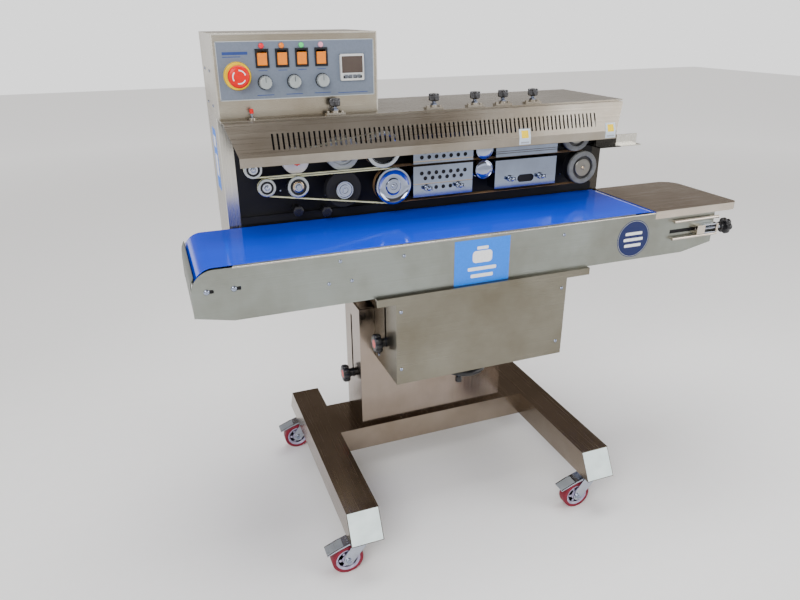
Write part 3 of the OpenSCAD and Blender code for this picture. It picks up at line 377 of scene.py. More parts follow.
def lathe(name, axis, centre, profile, material, body, slot, sides=72, lobes=0, depth=0.0, sharp=2.0):
    """Turns a profile of (along, radius) points round an axis; one that ends where it starts makes a ring.
    Lobes pull the outer points in and out."""
    work = bmesh.new()
    basis, centre = turn_basis(axis), Vector(centre)
    outer = max(radius for _, radius in profile)
    ring_shaped = profile[0] == profile[-1]
    rings = []
    for along, radius in profile[:-1] if ring_shaped else profile:
        ring = []
        for i in range(sides):
            a = 2 * math.pi * i / sides
            r = radius
            if lobes and radius > 0.6 * outer:
                r -= depth * (0.5 - 0.5 * math.cos(lobes * a)) ** sharp
            ring.append(work.verts.new(centre + basis @ Vector((r * math.cos(a), r * math.sin(a), along)))
                        if radius > 1e-4 or i == 0 else ring[0])
        rings.append(ring)
    if ring_shaped:
        rings.append(rings[0])
    for one, two in zip(rings, rings[1:]):
        for i in range(sides):
            corners = [one[i], one[(i + 1) % sides], two[(i + 1) % sides], two[i]]
            unique = list(dict.fromkeys(corners))
            if len(unique) > 2:
                work.faces.new(unique)
    if not ring_shaped:
        for ring in (rings[0], rings[-1]):
            if len(set(ring)) > 2:
                work.faces.new(ring)
    return from_bmesh(work, name, material=material, body=body, slot=slot, smooth=32)


def prism(name, plane, outline, near, far, material, body, slot, bevel=0.0):
    """An outline in a plane ("xz", "yz" or "xy"), given depth from near to far along the third axis."""
    order = {"xz": (0, 2, 1), "yz": (1, 2, 0), "xy": (0, 1, 2)}[plane]
    work = bmesh.new()
    ends = []
    for level in (near, far):
        ring = []
        for a, b in outline:
            co = [0, 0, 0]
            co[order[0]], co[order[1]], co[order[2]] = a, b, level
            ring.append(work.verts.new(co))
        ends.append(ring)
    work.faces.new(ends[0])
    work.faces.new(ends[1])
    count = len(outline)
    for i in range(count):
        work.faces.new([ends[0][i], ends[0][(i + 1) % count], ends[1][(i + 1) % count], ends[1][i]])
    return from_bmesh(work, name, material=material, body=body, slot=slot, bevel=bevel)


def arc(cx, cy, radius, start, end, count=12):
    """Points on an arc, in degrees."""
    return [(cx + radius * math.cos(math.radians(start + (end - start) * i / count)),
             cy + radius * math.sin(math.radians(start + (end - start) * i / count))) for i in range(count
                                                                                                     + 1)]


def rounded(x0, y0, x1, y1, radius, count=8):
    """A rectangle's outline with round corners."""
    return (arc(x1 - radius, y0 + radius, radius, -90, 0, count)
            + arc(x1 - radius, y1 - radius, radius, 0, 90, count)
            + arc(x0 + radius, y1 - radius, radius, 90, 180, count)
            + arc(x0 + radius, y0 + radius, radius, 180, 270, count))


def box(node):
    """The low and high corners of a CAD node, in millimetres."""
    low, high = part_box(node)
    return Vector(low) / MM, Vector(high) / MM


def middle(node):
    low, high = box(node)
    return (low + high) / 2


def discs(name, spots, radius, near, far, material, body, slot):
    """Short cylinders along Y, all in one mesh, at [x, z] spots."""
    work = bmesh.new()
    sides = 24
    for x, z in spots:
        rings = [[work.verts.new((x + radius * math.cos(a), y, z + radius * math.sin(a)))
                  for a in (2 * math.pi * i / sides for i in range(sides))] for y in (near, far)]
        work.faces.new(rings[0])
        work.faces.new(rings[1])
        for i in range(sides):
            work.faces.new([rings[0][i], rings[0][(i + 1) % sides], rings[1][(i + 1) % sides], rings[1][i]])
    return from_bmesh(work, name, material=material, body=body, slot=slot)


def bolt(name, axis, centre, radius, height, outward, body):
    """A pan-head screw whose head stands outward (+1 or -1) from its seat."""
    h = height * outward
    profile = [(0, radius), (0.35 * h, radius), (0.75 * h, 0.82 * radius), (h, 0.5 * radius),
               (h, 0.32 * radius), (0.55 * h, 0.28 * radius), (0.55 * h, 0)]
    return lathe(name, axis, centre, profile, CHROME, body, "zinc", 24)


# ---------------------------------------------------------------- camera, light and floor
def make_camera():
    data = bpy.data.cameras.new("camera")
    data.sensor_width = 36
    data.lens = 29.85
    camera = bpy.data.objects.new("camera", data)
    bpy.context.scene.collection.objects.link(camera)
    forward = Vector((0.3232, 0.8599, -0.3951)).normalized()
    turn = forward.to_track_quat("-Z", "Y").to_matrix() @ Matrix.Rotation(math.radians(-0.45), 3, "Z")
    camera.matrix_world = Matrix.Translation((-0.7657, -1.4677, 1.2139)) @ turn.to_4x4()
    bpy.context.scene.camera = camera


def area_light(name, place, aim, size, power, colour=(1, 1, 1)):
    data = bpy.data.lights.new(name, "AREA")
    data.shape = "RECTANGLE"
    data.size, data.size_y = size
    data.energy = power
    data.color = colour
    light = bpy.data.objects.new(name, data)
    bpy.context.scene.collection.objects.link(light)
    light.location = place
    light.rotation_euler = (Vector(aim) - Vector(place)).to_track_quat("-Z", "Y").to_euler()


def make_studio():
    floor_paint = Paint("floor_pale")
    speck = floor_paint.noise(30.0, 3, 0.5)
    floor_paint.set(Base_Color=floor_paint.blend(speck, (0.93, 0.93, 0.93), (0.96, 0.96, 0.96)),
                    Roughness=1.0, Specular_IOR_Level=0.0, Emission_Color=(0.95, 0.95, 0.95))
    source = floor_paint.node("ShaderNodeTexCoord").outputs["Object"]
    away = floor_paint.node("ShaderNodeVectorMath", Vector=source)
    away.operation = "LENGTH"
    floor_paint.set(Emission_Strength=floor_paint.between(away.outputs["Value"], 0.0, 0.70, 1.8, 6.0))
    work = bmesh.new()
    bmesh.ops.create_grid(work, x_segments=1, y_segments=1, size=12)
    mesh = bpy.data.meshes.new("floor")
    work.to_mesh(mesh)
    work.free()
    mesh.materials.append(floor_paint.mat)
    floor = bpy.data.objects.new("floor", mesh)
    bpy.context.scene.collection.objects.link(floor)

    world = bpy.data.worlds.new("studio")
    bpy.context.scene.world = world
    world.use_nodes = True
    tree = world.node_tree
    background = tree.nodes["Background"]
    direction = tree.nodes.new("ShaderNodeTexCoord").outputs["Generated"]
    height = tree.nodes.new("ShaderNodeSeparateXYZ")
    tree.links.new(direction, height.inputs[0])
    ramp = tree.nodes.new("ShaderNodeValToRGB")
    tree.links.new(height.outputs["Z"], ramp.inputs["Fac"])
    stops = [(0.0, (1.0, 1.0, 1.0)), (0.08, (0.98, 0.98, 0.98)), (0.13, (0.20, 0.18, 0.16)),
             (0.30, (0.12, 0.095, 0.075)), (0.66, (0.12, 0.10, 0.085)), (1.0, (0.46, 0.46, 0.46))]
    for place, colour in stops[1:-1]:
        ramp.color_ramp.elements.new(place)
    for element, (place, colour) in zip(ramp.color_ramp.elements, stops):
        element.position = place
        element.color = (*colour, 1)
    tree.links.new(ramp.outputs["Color"], background.inputs["Color"])
    background.inputs["Strength"].default_value = 1.6
    area_light("key", (-2.2, -2.6, 2.9), (0, 0, 0.6), (2.4, 1.8), 125)
    area_light("fill", (2.8, -2.0, 1.8), (0, 0, 0.7), (2.0, 2.0), 58)
    area_light("top", (0, 0.4, 3.2), (0, 0, 0), (2.6, 1.6), 72)
    area_light("back", (0.5, 1.9, 4.4), (0, 0, 0.8), (2.6, 1.2), 45)


make_camera()
make_studio()


# ---------------------------------------------------------------- CAD nodes that keep their shape
KEPT = {
    "foot_frame": STEEL["frame"], "column": STEEL["column"], "caster_plates": ZINC, "mast": STEEL["column"],
    "carriage_box": STEEL["box"], "front_panel": STEEL["panel"], "rear_panel": STEEL["reflection_end"],
    "conveyor_belt": BELT, "drive_roller": TURNED, "idler_roller": TURNED, "end_plate": STEEL["plate"],
    "head_case": STEEL["head"], "mechanism_plate": BLACK_PAINT, "corner_posts": STEEL["posts"],
    "top_plate": STEEL["head"], "guard": STEEL["guard"], "drive_motor": MOTOR_PAINT,
    "lower_blocks": STEEL["block"], "upper_blocks": STEEL["block"], "control_box": STEEL["cbox"],
    "control_panel": FILM,
}
CORNERS = ("front_left", "front_right", "rear_left", "rear_right")
for corner in CORNERS:
    KEPT["caster_fork_" + corner] = ZINC
SOFT_EDGE = {"conveyor_belt": 0, "caster_plates": 0.3, "guard": 0.3, "end_plate": 0.8}


def dress_nodes():
    for name, material in KEPT.items():
        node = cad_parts[name]
        node.data.materials.clear()
        node.data.materials.append(material)
        node.data.shade_smooth()
        node.data.set_sharp_from_angle(angle=math.radians(24))
        width = SOFT_EDGE.get(name, 0.6)
        if width:
            add_bevel(node, width, 50)


# ---------------------------------------------------------------- stand and castors
def castor(corner):
    fork, wheel = "caster_fork_" + corner, "caster_wheel_" + corner
    low, high = box(wheel)
    centre = (low + high) / 2
    radius, half = (high.z - low.z) / 2, (high.y - low.y) / 2
    core = radius - 8.5
    wide = half - 1.2
    tread = [(-wide + 4, core - 2), (-wide + 0.5, core), (-wide, core + 1), (-wide, radius - 4)]
    tread += [(-wide + 3.5 * (1 - math.cos(a)), radius - 3.5 * (1 - math.sin(a)))
              for a in (math.radians(d) for d in range(10, 91, 16))]
    tread += [(-along, r) for along, r in reversed(tread)]
    piece = lathe("tyre_" + corner, "y", centre, tread, TYRE, wheel, "castor_tyre", 96)
    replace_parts(piece, wheel)
    hub = [(-half, 5), (-half, 9.5), (-wide + 3.2, 10.5), (-wide + 4, 14),
           (-wide + 4, core - 6), (-wide + 1, core - 3), (-wide + 1, core)]
    hub += [(-along, r) for along, r in reversed(hub)]
    lathe("core_" + corner, "y", centre, hub, LILAC, wheel, "castor_tyre", 72)
    for side in (-1, 1):
        face = centre + Vector((0, side * (wide - 4), 0))
        for i in range(6):
            a = math.radians(60 * i)
            spoke = face + Vector((math.cos(a), 0, math.sin(a))) * (core * 0.62)
            lathe(f"core_web_{corner}_{'a' if side < 0 else 'b'}{i}", "y", spoke,
                  [(-0.5, 3.6), (1.2 * side, 3.2), (1.6 * side, 2.2), (1.6 * side, 0)],
                  LILAC, wheel, "castor_tyre", 20)
        lathe(f"axle_nut_{corner}_{'a' if side < 0 else 'b'}", "y",
              centre + Vector((0, side * (half + 6), 0)),
              [(0, 6.5), (side * 1.0, 6.5), (side * 1.5, 5.6), (side * 1.5, 0)], CHROME, fork, "zinc", 6)
    # grey moulded shoe over the brake pedal, with grip ribs
    fork_low, fork_high = box(fork)
    tip = fork_low.x
    top = fork_high.z - 20
    outline = [(tip + 0.1, top - 14.5), (tip + 30, top - 2.4), (tip + 40, top + 1.2),
               (tip + 40, top + 3.4), (tip + 29, top + 0.2), (tip + 0.1, top - 11.2)]
    wide_y = 13.5
    prism("pedal_shoe_" + corner, "xz", outline, centre.y - wide_y, centre.y + wide_y, PEDAL, fork, "zinc",
          0.8)
    for i in range(5):
        x = tip + 4 + 5 * i
        z = top - 10.4 + 2.05 * i
        slab(f"pedal_rib_{corner}_{i}", (x, centre.y - 10, z - 1), (x + 2, centre.y + 10, z + 1.6),
             PEDAL, fork, "zinc", 0.4)


def stand():
    low, high = box("foot_frame")
    width, edge, proud = 78, 1.5, 0.7
    lean = 38 / 67
    for x_name, x0, x1 in (("left", low.x, low.x + width), ("right", high.x - width, high.x)):
        for y_name, y, sign in (("front", low.y, 1), ("rear", high.y, -1)):
            z0, z1 = low.z + 1.5, high.z - 1.5
            y0, y1 = y + sign * (lean * (z0 - low.z) - proud), y + sign * (lean * (z1 - low.z) - proud)
            outline = [(y0, z0), (y1, z1), (y1 + sign * 3, z1), (y0 + sign * 3, z0)]
            prism(f"foot_cap_{y_name}_{x_name}", "yz", outline, x0 + edge, x1 - edge, FOOT_CAP, "base",
                  "frame_steel", 0.6)
    for corner in CORNERS:
        castor(corner)


# ---------------------------------------------------------------- knobs and handwheel
def lobed_knob(node, face, outward, radius, depth, cap_material=None, stud=0.0, lobes=8, cap_share=0.46):
    """A clamping knob: grip with lobes, neck towards the face, coloured cap on the outside, and a stud."""
    s = outward
    neck, start = radius * 0.46, depth * 0.42
    grip = [(s * start, neck), (s * start, radius * 0.86), (s * (start + 0.08 * depth), radius * 0.97),
            (s * (start + 0.16 * depth), radius), (s * (depth - 0.14 * depth), radius),
            (s * (depth - 0.05 * depth), radius * 0.93),
            (s * depth, radius * 0.80), (s * depth, radius * cap_share),
            (s * (depth - 1.2), radius * cap_share), (s * (depth - 1.2), 0)]
    piece = lathe(node + "_grip", "x", face, grip, KNOB, node, "black_knob", 128, lobes, radius * 0.16, 2.2)
    hub = [(0, neck * 1.15), (s * 1.5, neck * 1.15), (s * 2.5, neck), (s * (start + 1), neck),
           (s * (start + 1), 0)]
    lathe(node + "_neck", "x", face, [(0, 0)] + hub, KNOB, node, "black_knob", 48)
    if cap_material:
        r = radius * cap_share
        cap = [(s * (depth - 1.3), r * 0.97), (s * (depth - 0.1), r * 0.97), (s * (depth + 0.5), r * 0.85),
               (s * (depth + 0.8), r * 0.5), (s * (depth + 0.9), 0)]
        lathe(node + "_cap", "x", face, cap, cap_material, node, "black_knob", 48)
    if stud:
        lathe(node + "_stud", "x", face, [(0.5 * s, 0), (0.5 * s, 5), (-s * stud, 5), (-s * stud, 0)],
              ZINC, node, "black_knob", 36)
    return piece


def threaded_rod(name, axis, centre, start, end, radius, pitch, body):
    """A rod whose surface steps in and out like a thread."""
    turns = int((end - start) / pitch)
    profile = [(start, 0), (start, radius * 0.9)]
    for i in range(turns):
        profile += [(start + (i + 0.25) * pitch, radius), (start + (i + 0.75) * pitch, radius * 0.86)]
    profile += [(end, radius * 0.9), (end, 0)]
    return lathe(name, axis, centre, profile, ZINC, body, "zinc", 28)


def clamp_knobs():
    for node in ("mast_lock_knob", "conveyor_lock_knob"):
        low, high = box(node)
        centre = (low + high) / 2
        radius = (high.z - low.z) / 2
        face = Vector((low.x + 32, centre.y, centre.z))
        piece = lobed_knob(node, face, -1, radius, 31, CAP_RED, high.x - face.x - 0.2)
        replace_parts(piece, node)
    low, high = box("tension_knob")
    centre = (low + high) / 2
    face = Vector((high.x - 28, centre.y, centre.z))
    piece = lobed_knob("tension_knob", face, 1, (high.z - low.z) / 2, 27.4, lobes=6, cap_share=0.4)
    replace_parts(piece, "tension_knob")
    threaded_rod("tension_rod", "x", (0, centre.y, centre.z), low.x, face.x + 2, 4, 2, "tension_knob")


def handwheel():
    low, high = box("handwheel")
    x, y = (low.x + high.x) / 2, (low.y + high.y) / 2
    rim_z, rim, tube = low.z + 26, (high.x - low.x) / 2 - 9, 8.8
    profile = [(tube * math.sin(a),
                rim + tube * math.cos(a)) for a in (math.radians(15 * i) for i in range(25))]
    piece = lathe("handwheel_rim", "z", (x, y, rim_z), profile, KNOB, "handwheel", "black_knob", 128)
    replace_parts(piece, "handwheel")
    lathe("handwheel_hub", "z", (x, y, rim_z), [(-8, 0), (-8, 13), (-6, 16), (4, 16.5),
          (6, 14), (14, 13), (14, 0)], KNOB, "handwheel", "black_knob", 48)
    for i in range(3):
        a = math.radians(30 + 120 * i)
        work = bmesh.new()
        rings = []
        for step in range(9):
            t = step / 8
            distance = 12 + t * (rim - 12)
            drop = -3.5 * math.sin(math.pi * t)
            half_w, half_h = (8.5 - 3.0 * t), (4.2 - 1.0 * t)
            along, across = Vector((math.cos(a), math.sin(a), 0)), Vector((-math.sin(a), math.cos(a), 0))
            mid = Vector((x, y, rim_z + drop)) + along * distance
            rings.append([work.verts.new(mid + across * half_w * math.cos(b)
                                         + Vector((0, 0, 1)) * half_h * math.sin(b))
                          for b in (math.radians(30 * k) for k in range(12))])
        for one, two in zip(rings, rings[1:]):
            for k in range(12):
                work.faces.new([one[k], one[(k + 1) % 12], two[(k + 1) % 12], two[k]])
        work.faces.new(rings[0])
        work.faces.new(rings[-1])
        from_bmesh(work, f"handwheel_spoke_{i}", material=KNOB, body="handwheel", slot="black_knob")
    a = math.radians(233)
    place = Vector((x + rim * math.cos(a), y + rim * math.sin(a), 0))
    lathe("crank_grip", "z", place, [(low.z, 0), (low.z, 6), (low.z + 2, 8.4), (low.z + 8, 9),
          (low.z + 13, 8), (low.z + 16, 6.5), (low.z + 16, 0)], KNOB, "handwheel", "black_knob", 48)
    lathe("crank_pin", "z", place, [(low.z + 15, 0), (low.z + 15, 4), (rim_z, 4), (rim_z, 0)],
          CHROME, "handwheel", "zinc", 32)
    threaded_rod("lift_screw", "z", (x, y, 0), rim_z + 10, high.z, 8, 4, "handwheel")


# ---------------------------------------------------------------- conveyor
def sticker_block(cx, cz, w, h, y, name):
    """One plain rounded block printed on a sticker."""
    outline = rounded(cx - w / 2, cz - h / 2, cx + w / 2, cz + h / 2, min(w, h) * 0.3)
    prism(name, "xz", outline, y - 0.15, y, INK_WHITE, "carriage", "panel_steel")


def conveyor():
    low, high = box("front_panel")
    y = low.y
    spots = [(320, 717), (292, 668), (345, 668), (470, 710), (896, 709)]
    for i, (along, z) in enumerate(spots):
        bolt(f"panel_bolt_{i}", "y", (low.x + along, y, z), 4.2, 2.6, -1, "carriage")
    slot_z = middle("idler_roller").z - 8
    for i, along in enumerate((31, 87)):
        x = low.x + along
        bolt(f"slot_bolt_{i}", "y", (x, y, slot_z), 6.2, 3.4, -1, "carriage")
        # a black slab behind each slot paints the shadow inside it
        outline = rounded(x - 3, slot_z - 3.6, x + 14.6, slot_z + 3.6, 3.5)
        prism(f"slot_shadow_{i}", "xz", outline, y + 0.2, y + 1.2, BLACK_PAINT, "carriage", "black_plate")
    # the brighter post steel on the bead along the panel's top edge is a painted highlight
    highlight_left, highlight_right = low.x + 88, box("end_plate")[0].x - 2
    prism("panel_edge_highlight", "yz", arc(y + 1.5, high.z - 1.2, 1.9, 0, 330, 11), highlight_left, highlight_right, STEEL["post"],
          "carriage", "panel_steel")
    rear = box("rear_panel")[1].y
    for i in range(5):
        bolt(f"rear_bolt_{i}", "y", (low.x + 180 + 240 * i, rear, 700), 4.2, 2.6, 1, "carriage")
    # black slab behind the tension slot, a painted shade inside the slot
    tension_z = middle("tension_knob").z
    slab("tension_slot_shade", (high.x - 150, y + 2.6, tension_z - 12), (high.x - 35, y + 4, tension_z + 12),
         BLACK_PAINT, "carriage", "black_plate", 0.2)
    # blue square sticker with a plain pale bottle-like sign and bars, and a round navy one
    x0, x1 = low.x + 597, low.x + 744
    sheet_y = y - 0.35
    slab("square_sticker", (x0, sheet_y, low.z + 0.6), (x1, y + 0.2, high.z - 8), STICKER_BLUE,
         "carriage", "panel_steel", 0.1)
    cx, cz = (x0 + x1) / 2, (low.z + high.z) / 2 - 4
    blocks = ((12, 52, 30), (34, 30, 8), (-18, 76, 9), (-36, 60, 9))
    for i, (dz, w, h) in enumerate(blocks):
        sticker_block(cx, cz + dz, w, h, sheet_y, f"sticker_block_{i}")
    disc = Vector((low.x + 1110, y, low.z + 58))
    lathe("round_sticker", "y", disc, [(0, 0), (0, 50), (-0.35, 50), (-0.35, 0)], STICKER_NAVY, "carriage",
          "panel_steel", 96)
    lathe("round_sticker_ring", "y", disc, [(-0.3, 47), (-0.3, 48), (-0.5, 48), (-0.5, 47), (-0.3, 47)],
          FILM_EDGE,
          "carriage", "panel_steel", 96)
    for i, (dz, w) in enumerate(((14, 52), (-2, 60), (-18, 52))):
        sticker_block(disc.x, disc.z + dz, w, 8, sheet_y, f"round_sticker_bar_{i}")
    # zinc stirrup of the belt tension
    rod_y = middle("tension_knob").y
    for i, dz in enumerate((-11, 11)):
        z = tension_z + dz
        slab(f"tension_stirrup_{i}", (high.x - 52, rod_y - 7, z - 1.5), (high.x + 1, rod_y + 7, z + 1.5),
             ZINC, "carriage", "zinc", 0.5)
    # screws of the box under the conveyor
    low, high = box("carriage_box")
    front = low.y + 5
    left, right = -278, 187
    screws = ((left + 12, 574), (left + 12, 422), (right - 14, 569), (right - 18, 419))
    for i, (x, z) in enumerate(screws):
        bolt(f"box_screw_{i}", "y", (x, front, z), 4.4, 2.6, -1, "carriage")
    for i, z in enumerate((400, 560)):
        bolt(f"box_side_screw_{i}", "x", (left, -12, z), 4.4, 2.6, -1, "carriage")


# ---------------------------------------------------------------- wheels of the mechanism
# all in millimetres behind a wheel's front end; a groove is (near side, far side, depth)
GUIDE_GROOVE = (4.4, 11.6, 2.9)
BAND_GROOVE = (15.4, 31.6, 1.2)
BOTH_GROOVES = [GUIDE_GROOVE, BAND_GROOVE]
SHAFT = [(96, 0), (96, 6), (71, 6), (71, 10)]


def wheel_place(node):
    """The middle of a wheel's front end, and its radius in millimetres."""
    low, high = box(node)
    return Vector(((low.x + high.x) / 2, low.y, (low.z + high.z) / 2)), (high.x - low.x) / 2


def wheel_profile(radius, width, grooves, face):
    """The shaft, the back, the tread with its grooves, then the points of the face."""
    points = SHAFT + [(width, 10), (width, radius - 1.5), (width - 1.5, radius)]
    for near, far, depth in sorted(grooves, reverse=True):
        points += [(far, radius), (far, radius - depth), (near, radius - depth), (near, radius)]
    return points + face


def turned_part(node, part, points, material, slot, sides=96, **keys):
    centre, _ = wheel_place(node)
    return lathe(f"{node}_{part}", "y", centre, points, material, node, slot, sides, **keys)


def main_part(node, part, points, material, slot):
    """A turned part that takes the place of the CAD node."""
    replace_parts(turned_part(node, part, points, material, slot), node)


def band_wheels():
    node = "band_wheel_lower"
    _, r = wheel_place(node)
    face = [(2.5, r), (1.3, r - 0.6), (1, r - 2), (1, r - 5), (2, r - 6.2), (4.2, r - 9), (5.6, 27),
            (5.2, 20.5), (2.6, 18.8), (1.6, 17.6), (1.6, 9.6), (2.8, 8.6), (2.8, 0)]
    main_part(node, "disc", wheel_profile(r, 36, BOTH_GROOVES, face), CHROME, "chrome")
    turned_part(node, "screw", [(2.8, 0), (2.8, 5), (0.8, 5), (0, 4), (0, 2), (1.2, 1.6), (1.2, 0)], CHROME,
                "zinc", 32)
    node = "band_wheel_upper"
    _, r = wheel_place(node)
    face = [(2.5, r), (1.3, r - 0.6), (1, r - 2), (1, r - 9), (2.5, r - 11), (9, r - 12), (9, 17),
            (2, 15.5), (1, 14), (1, 0)]
    main_part(node, "disc", wheel_profile(r, 36, BOTH_GROOVES, face), TURNED, "chrome")
    turned_part(node, "recess", [(9, 17.5), (8.2, 17.5), (8.2, r - 12.4), (9, r - 12.4), (9, 17.5)],
                BLACK_PAINT, "chrome")
    turned_part(node, "screw", [(1, 0), (1, 6), (-0.6, 6), (-1.2, 5), (-1.2, 0)], CHROME, "zinc", 32)


def end_wheels():
    for node in ("end_wheel_lower", "end_wheel_upper"):
        _, r = wheel_place(node)
        face = [(9.2, r), (9, r - 0.4), (9, r - 13), (6, r - 14), (6, 0)]
        main_part(node, "barrel", wheel_profile(r, 36, [BAND_GROOVE], face), KNOB, "grey_wheel")
        ring = [(9, r - 13.5), (1.8, r - 13.5), (1.2, r - 12.8), (1.2, r - 2.4), (2.6, r - 0.4),
                (9, r - 0.2), (9, r - 13.5)]
        turned_part(node, "ring", ring, GREY_RUBBER, "grey_wheel")
        disc = [(6, 0), (6, 24), (3.4, 24), (2.4, 23), (2.4, 8), (3.2, 7), (3.2, 0)]
        turned_part(node, "disc", disc, WORN_STEEL, "grey_wheel")
        turned_part(node, "bolt", [(3.2, 0), (3.2, 4.5), (0.8, 4.5), (0.2, 3.6), (0.2, 0)], BRASS, "zinc",
                    6)


def press_wheels():
    for node in ("press_wheel_lower", "press_wheel_upper"):
        _, r = wheel_place(node)
        face = [(3.5, r), (2.2, r - 0.7), (1.8, r - 2), (2.7, r - 3.2), (1.8, r - 5), (1.0, 13), (0.5, 7),
                (0.3, 0)]
        main_part(node, "disc", wheel_profile(r, 34, [BAND_GROOVE], face), CHROME, "chrome")


def set_back_profile(radius, front=13):
    """A roller whose disc runs behind the guide belt."""
    return SHAFT + [(37, 10), (37, radius - 1.4), (35.6, radius), (front + 1.4, radius),
            (front, radius - 1.4), (front, 0)]


def drawing_rollers():
    node = "rubber_roller"
    _, r = wheel_place(node)
    main_part(node, "tread", set_back_profile(r), BLACK_RUBBER, "black_rubber")
    hub = [(13, 0), (13, 22), (4.8, 22), (3.4, 21), (3.4, 18.6), (5.6, 17.4), (5.6, 13.4), (3, 12.4),
           (3, 8.4), (4.4, 7.6), (4.4, 5.2), (1.6, 4.8), (1.6, 0)]
    turned_part(node, "hub", hub, CHROME, "chrome", 72)
    node = "counter_roller"
    _, r = wheel_place(node)
    points = set_back_profile(r)[:-1] + [(13, r - 13), (16, r - 14), (16, 0)]
    main_part(node, "tread", points, GREY_PLASTIC, "grey_wheel")
    turned_part(node, "hub", [(16, 0), (16, 18), (2.4, 18), (1.4, 17), (1.4, 0)], DARK_METAL, "grey_wheel",
                72)
    turned_part(node, "screw", [(1.4, 0), (1.4, 6), (-0.8, 6), (-1.4, 5), (-1.4, 0)], CHROME, "zinc", 6)


def feed_rollers():
    node = "feed_roller_lower"
    _, r = wheel_place(node)
    face = [(2.6, r), (1.3, r - 0.8), (1, r - 2.4), (1, 19.6), (3, 19), (3, 0)]
    main_part(node, "disc", wheel_profile(r, 24, [GUIDE_GROOVE], face), TURNED, "grey_wheel")
    turned_part(node, "seal", [(3, 14), (1.6, 14), (1.6, 18.6), (3, 18.6), (3, 14)], BLACK_RUBBER,
                "grey_wheel", 72)
    turned_part(node, "hub", [(3, 0), (3, 13.6), (1.4, 13.2), (0.8, 12), (0.8, 0)], BRASS, "zinc", 72)
    turned_part(node, "washer", [(0.8, 0), (0.8, 9.6), (-0.4, 9.6), (-0.4, 0)], CHROME, "zinc", 48)
    turned_part(node, "nut", [(-0.4, 0), (-0.4, 7.4), (-3.4, 7.4), (-4, 6.4), (-4, 0)], CHROME, "zinc", 6)
    node = "feed_roller_upper"
    _, r = wheel_place(node)
    main_part(node, "tread", set_back_profile(r), WHITE, "white_wheel")
    turned_part(node, "hub", [(13, 0), (13, 12), (4.4, 12), (3.4, 11), (3.4, 0)], WHITE, "white_wheel", 72)
    turned_part(node, "knob", [(3.4, 0), (3.4, 9), (0, 9), (-1.2, 7.6), (-1.2, 2.4), (-0.4, 2), (-0.4, 0)],
                STOP_RED,
                "white_wheel", 96, lobes=8, depth=1.4)


def guide_pulleys():
    for node in ("guide_pulley_lower", "guide_pulley_upper"):
        _, r = wheel_place(node)
        face = [(2.4, r), (1.2, r - 0.8), (1, r - 2), (1, 15.6), (2.6, 15), (2.6, 0)]
        main_part(node, "disc", wheel_profile(r, 22, [GUIDE_GROOVE], face), TURNED, "grey_wheel")
        seal = [(2.6, 10.8), (1.4, 10.8), (1.4, 14.8), (2.6, 14.8), (2.6, 10.8)]
        turned_part(node, "seal", seal, BLACK_RUBBER, "grey_wheel", 72)
        turned_part(node, "washer", [(2.6, 0), (2.6, 10.2), (0.8, 10.2), (0.8, 0)], ZINC, "zinc", 48)
        turned_part(node, "nut", [(0.8, 0), (0.8, 6.8), (-2.6, 6.8), (-3.2, 5.8), (-3.2, 0)], CHROME,
                    "zinc", 6)
        turned_part(node, "stud", [(-3.2, 0), (-3.2, 3), (-5, 3), (-5.4, 2.4), (-5.4, 0)], ZINC, "zinc", 24)


# ---------------------------------------------------------------- bands
def loop_outline(a, radius_a, b, radius_b, count=48):
    """Points of a belt round two wheels, each [x, z], a being the left one."""
    base = math.degrees(math.atan2(b[1] - a[1], b[0] - a[0]))
    spread = math.degrees(math.acos((radius_a - radius_b) / math.dist(a, b)))
    return (arc(b[0], b[1], radius_b, base - spread, base + spread, count)
            + arc(a[0], a[1], radius_a, base + spread, base + 360 - spread, count))


def running_band(name, left, right, inset, thickness, behind, width, material):
    """A flat belt in the grooves of two wheels; sizes in millimetres."""
    (place_a, radius_a), (place_b, radius_b) = wheel_place(left), wheel_place(right)
    a, b = (place_a.x, place_a.z), (place_b.x, place_b.z)
    near = place_a.y + behind
    work = bmesh.new()
    rows = []
    for grow in (0, thickness):
        shape = loop_outline(a, (radius_a - inset + grow), b, (radius_b - inset + grow))
        rows += [[work.verts.new((x, y, z)) for x, z in shape] for y in (near, near + width)]
    inner_near, inner_far, outer_near, outer_far = rows
    for one, two in ((inner_near, inner_far), (inner_far, outer_far), (outer_far, outer_near),
                     (outer_near, inner_near)):
        for i in range(len(one)):
            j = (i + 1) % len(one)
            work.faces.new([one[i], one[j], two[j], two[i]])
    return from_bmesh(work, name, material=material, body="mast", slot="band")


def bands():
    for row in ("lower", "upper"):
        piece = running_band("sealing_band_" + row, "band_wheel_" + row, "end_wheel_" + row, 0.9, 0.8, 16,
                             15, BAND)
        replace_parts(piece, "bands")
        running_band("guide_belt_" + row, "guide_pulley_" + row, "band_wheel_" + row, 2.6, 2.5, 5, 6, GUIDE)


# ---------------------------------------------------------------- blocks, plate and guard
HOLE_PITCH = 20
HOLE_RADIUS = 5.15


def hole_row(count, middle_x, z):
    return [(middle_x + (i - (count - 1) / 2) * HOLE_PITCH, z) for i in range(count)]


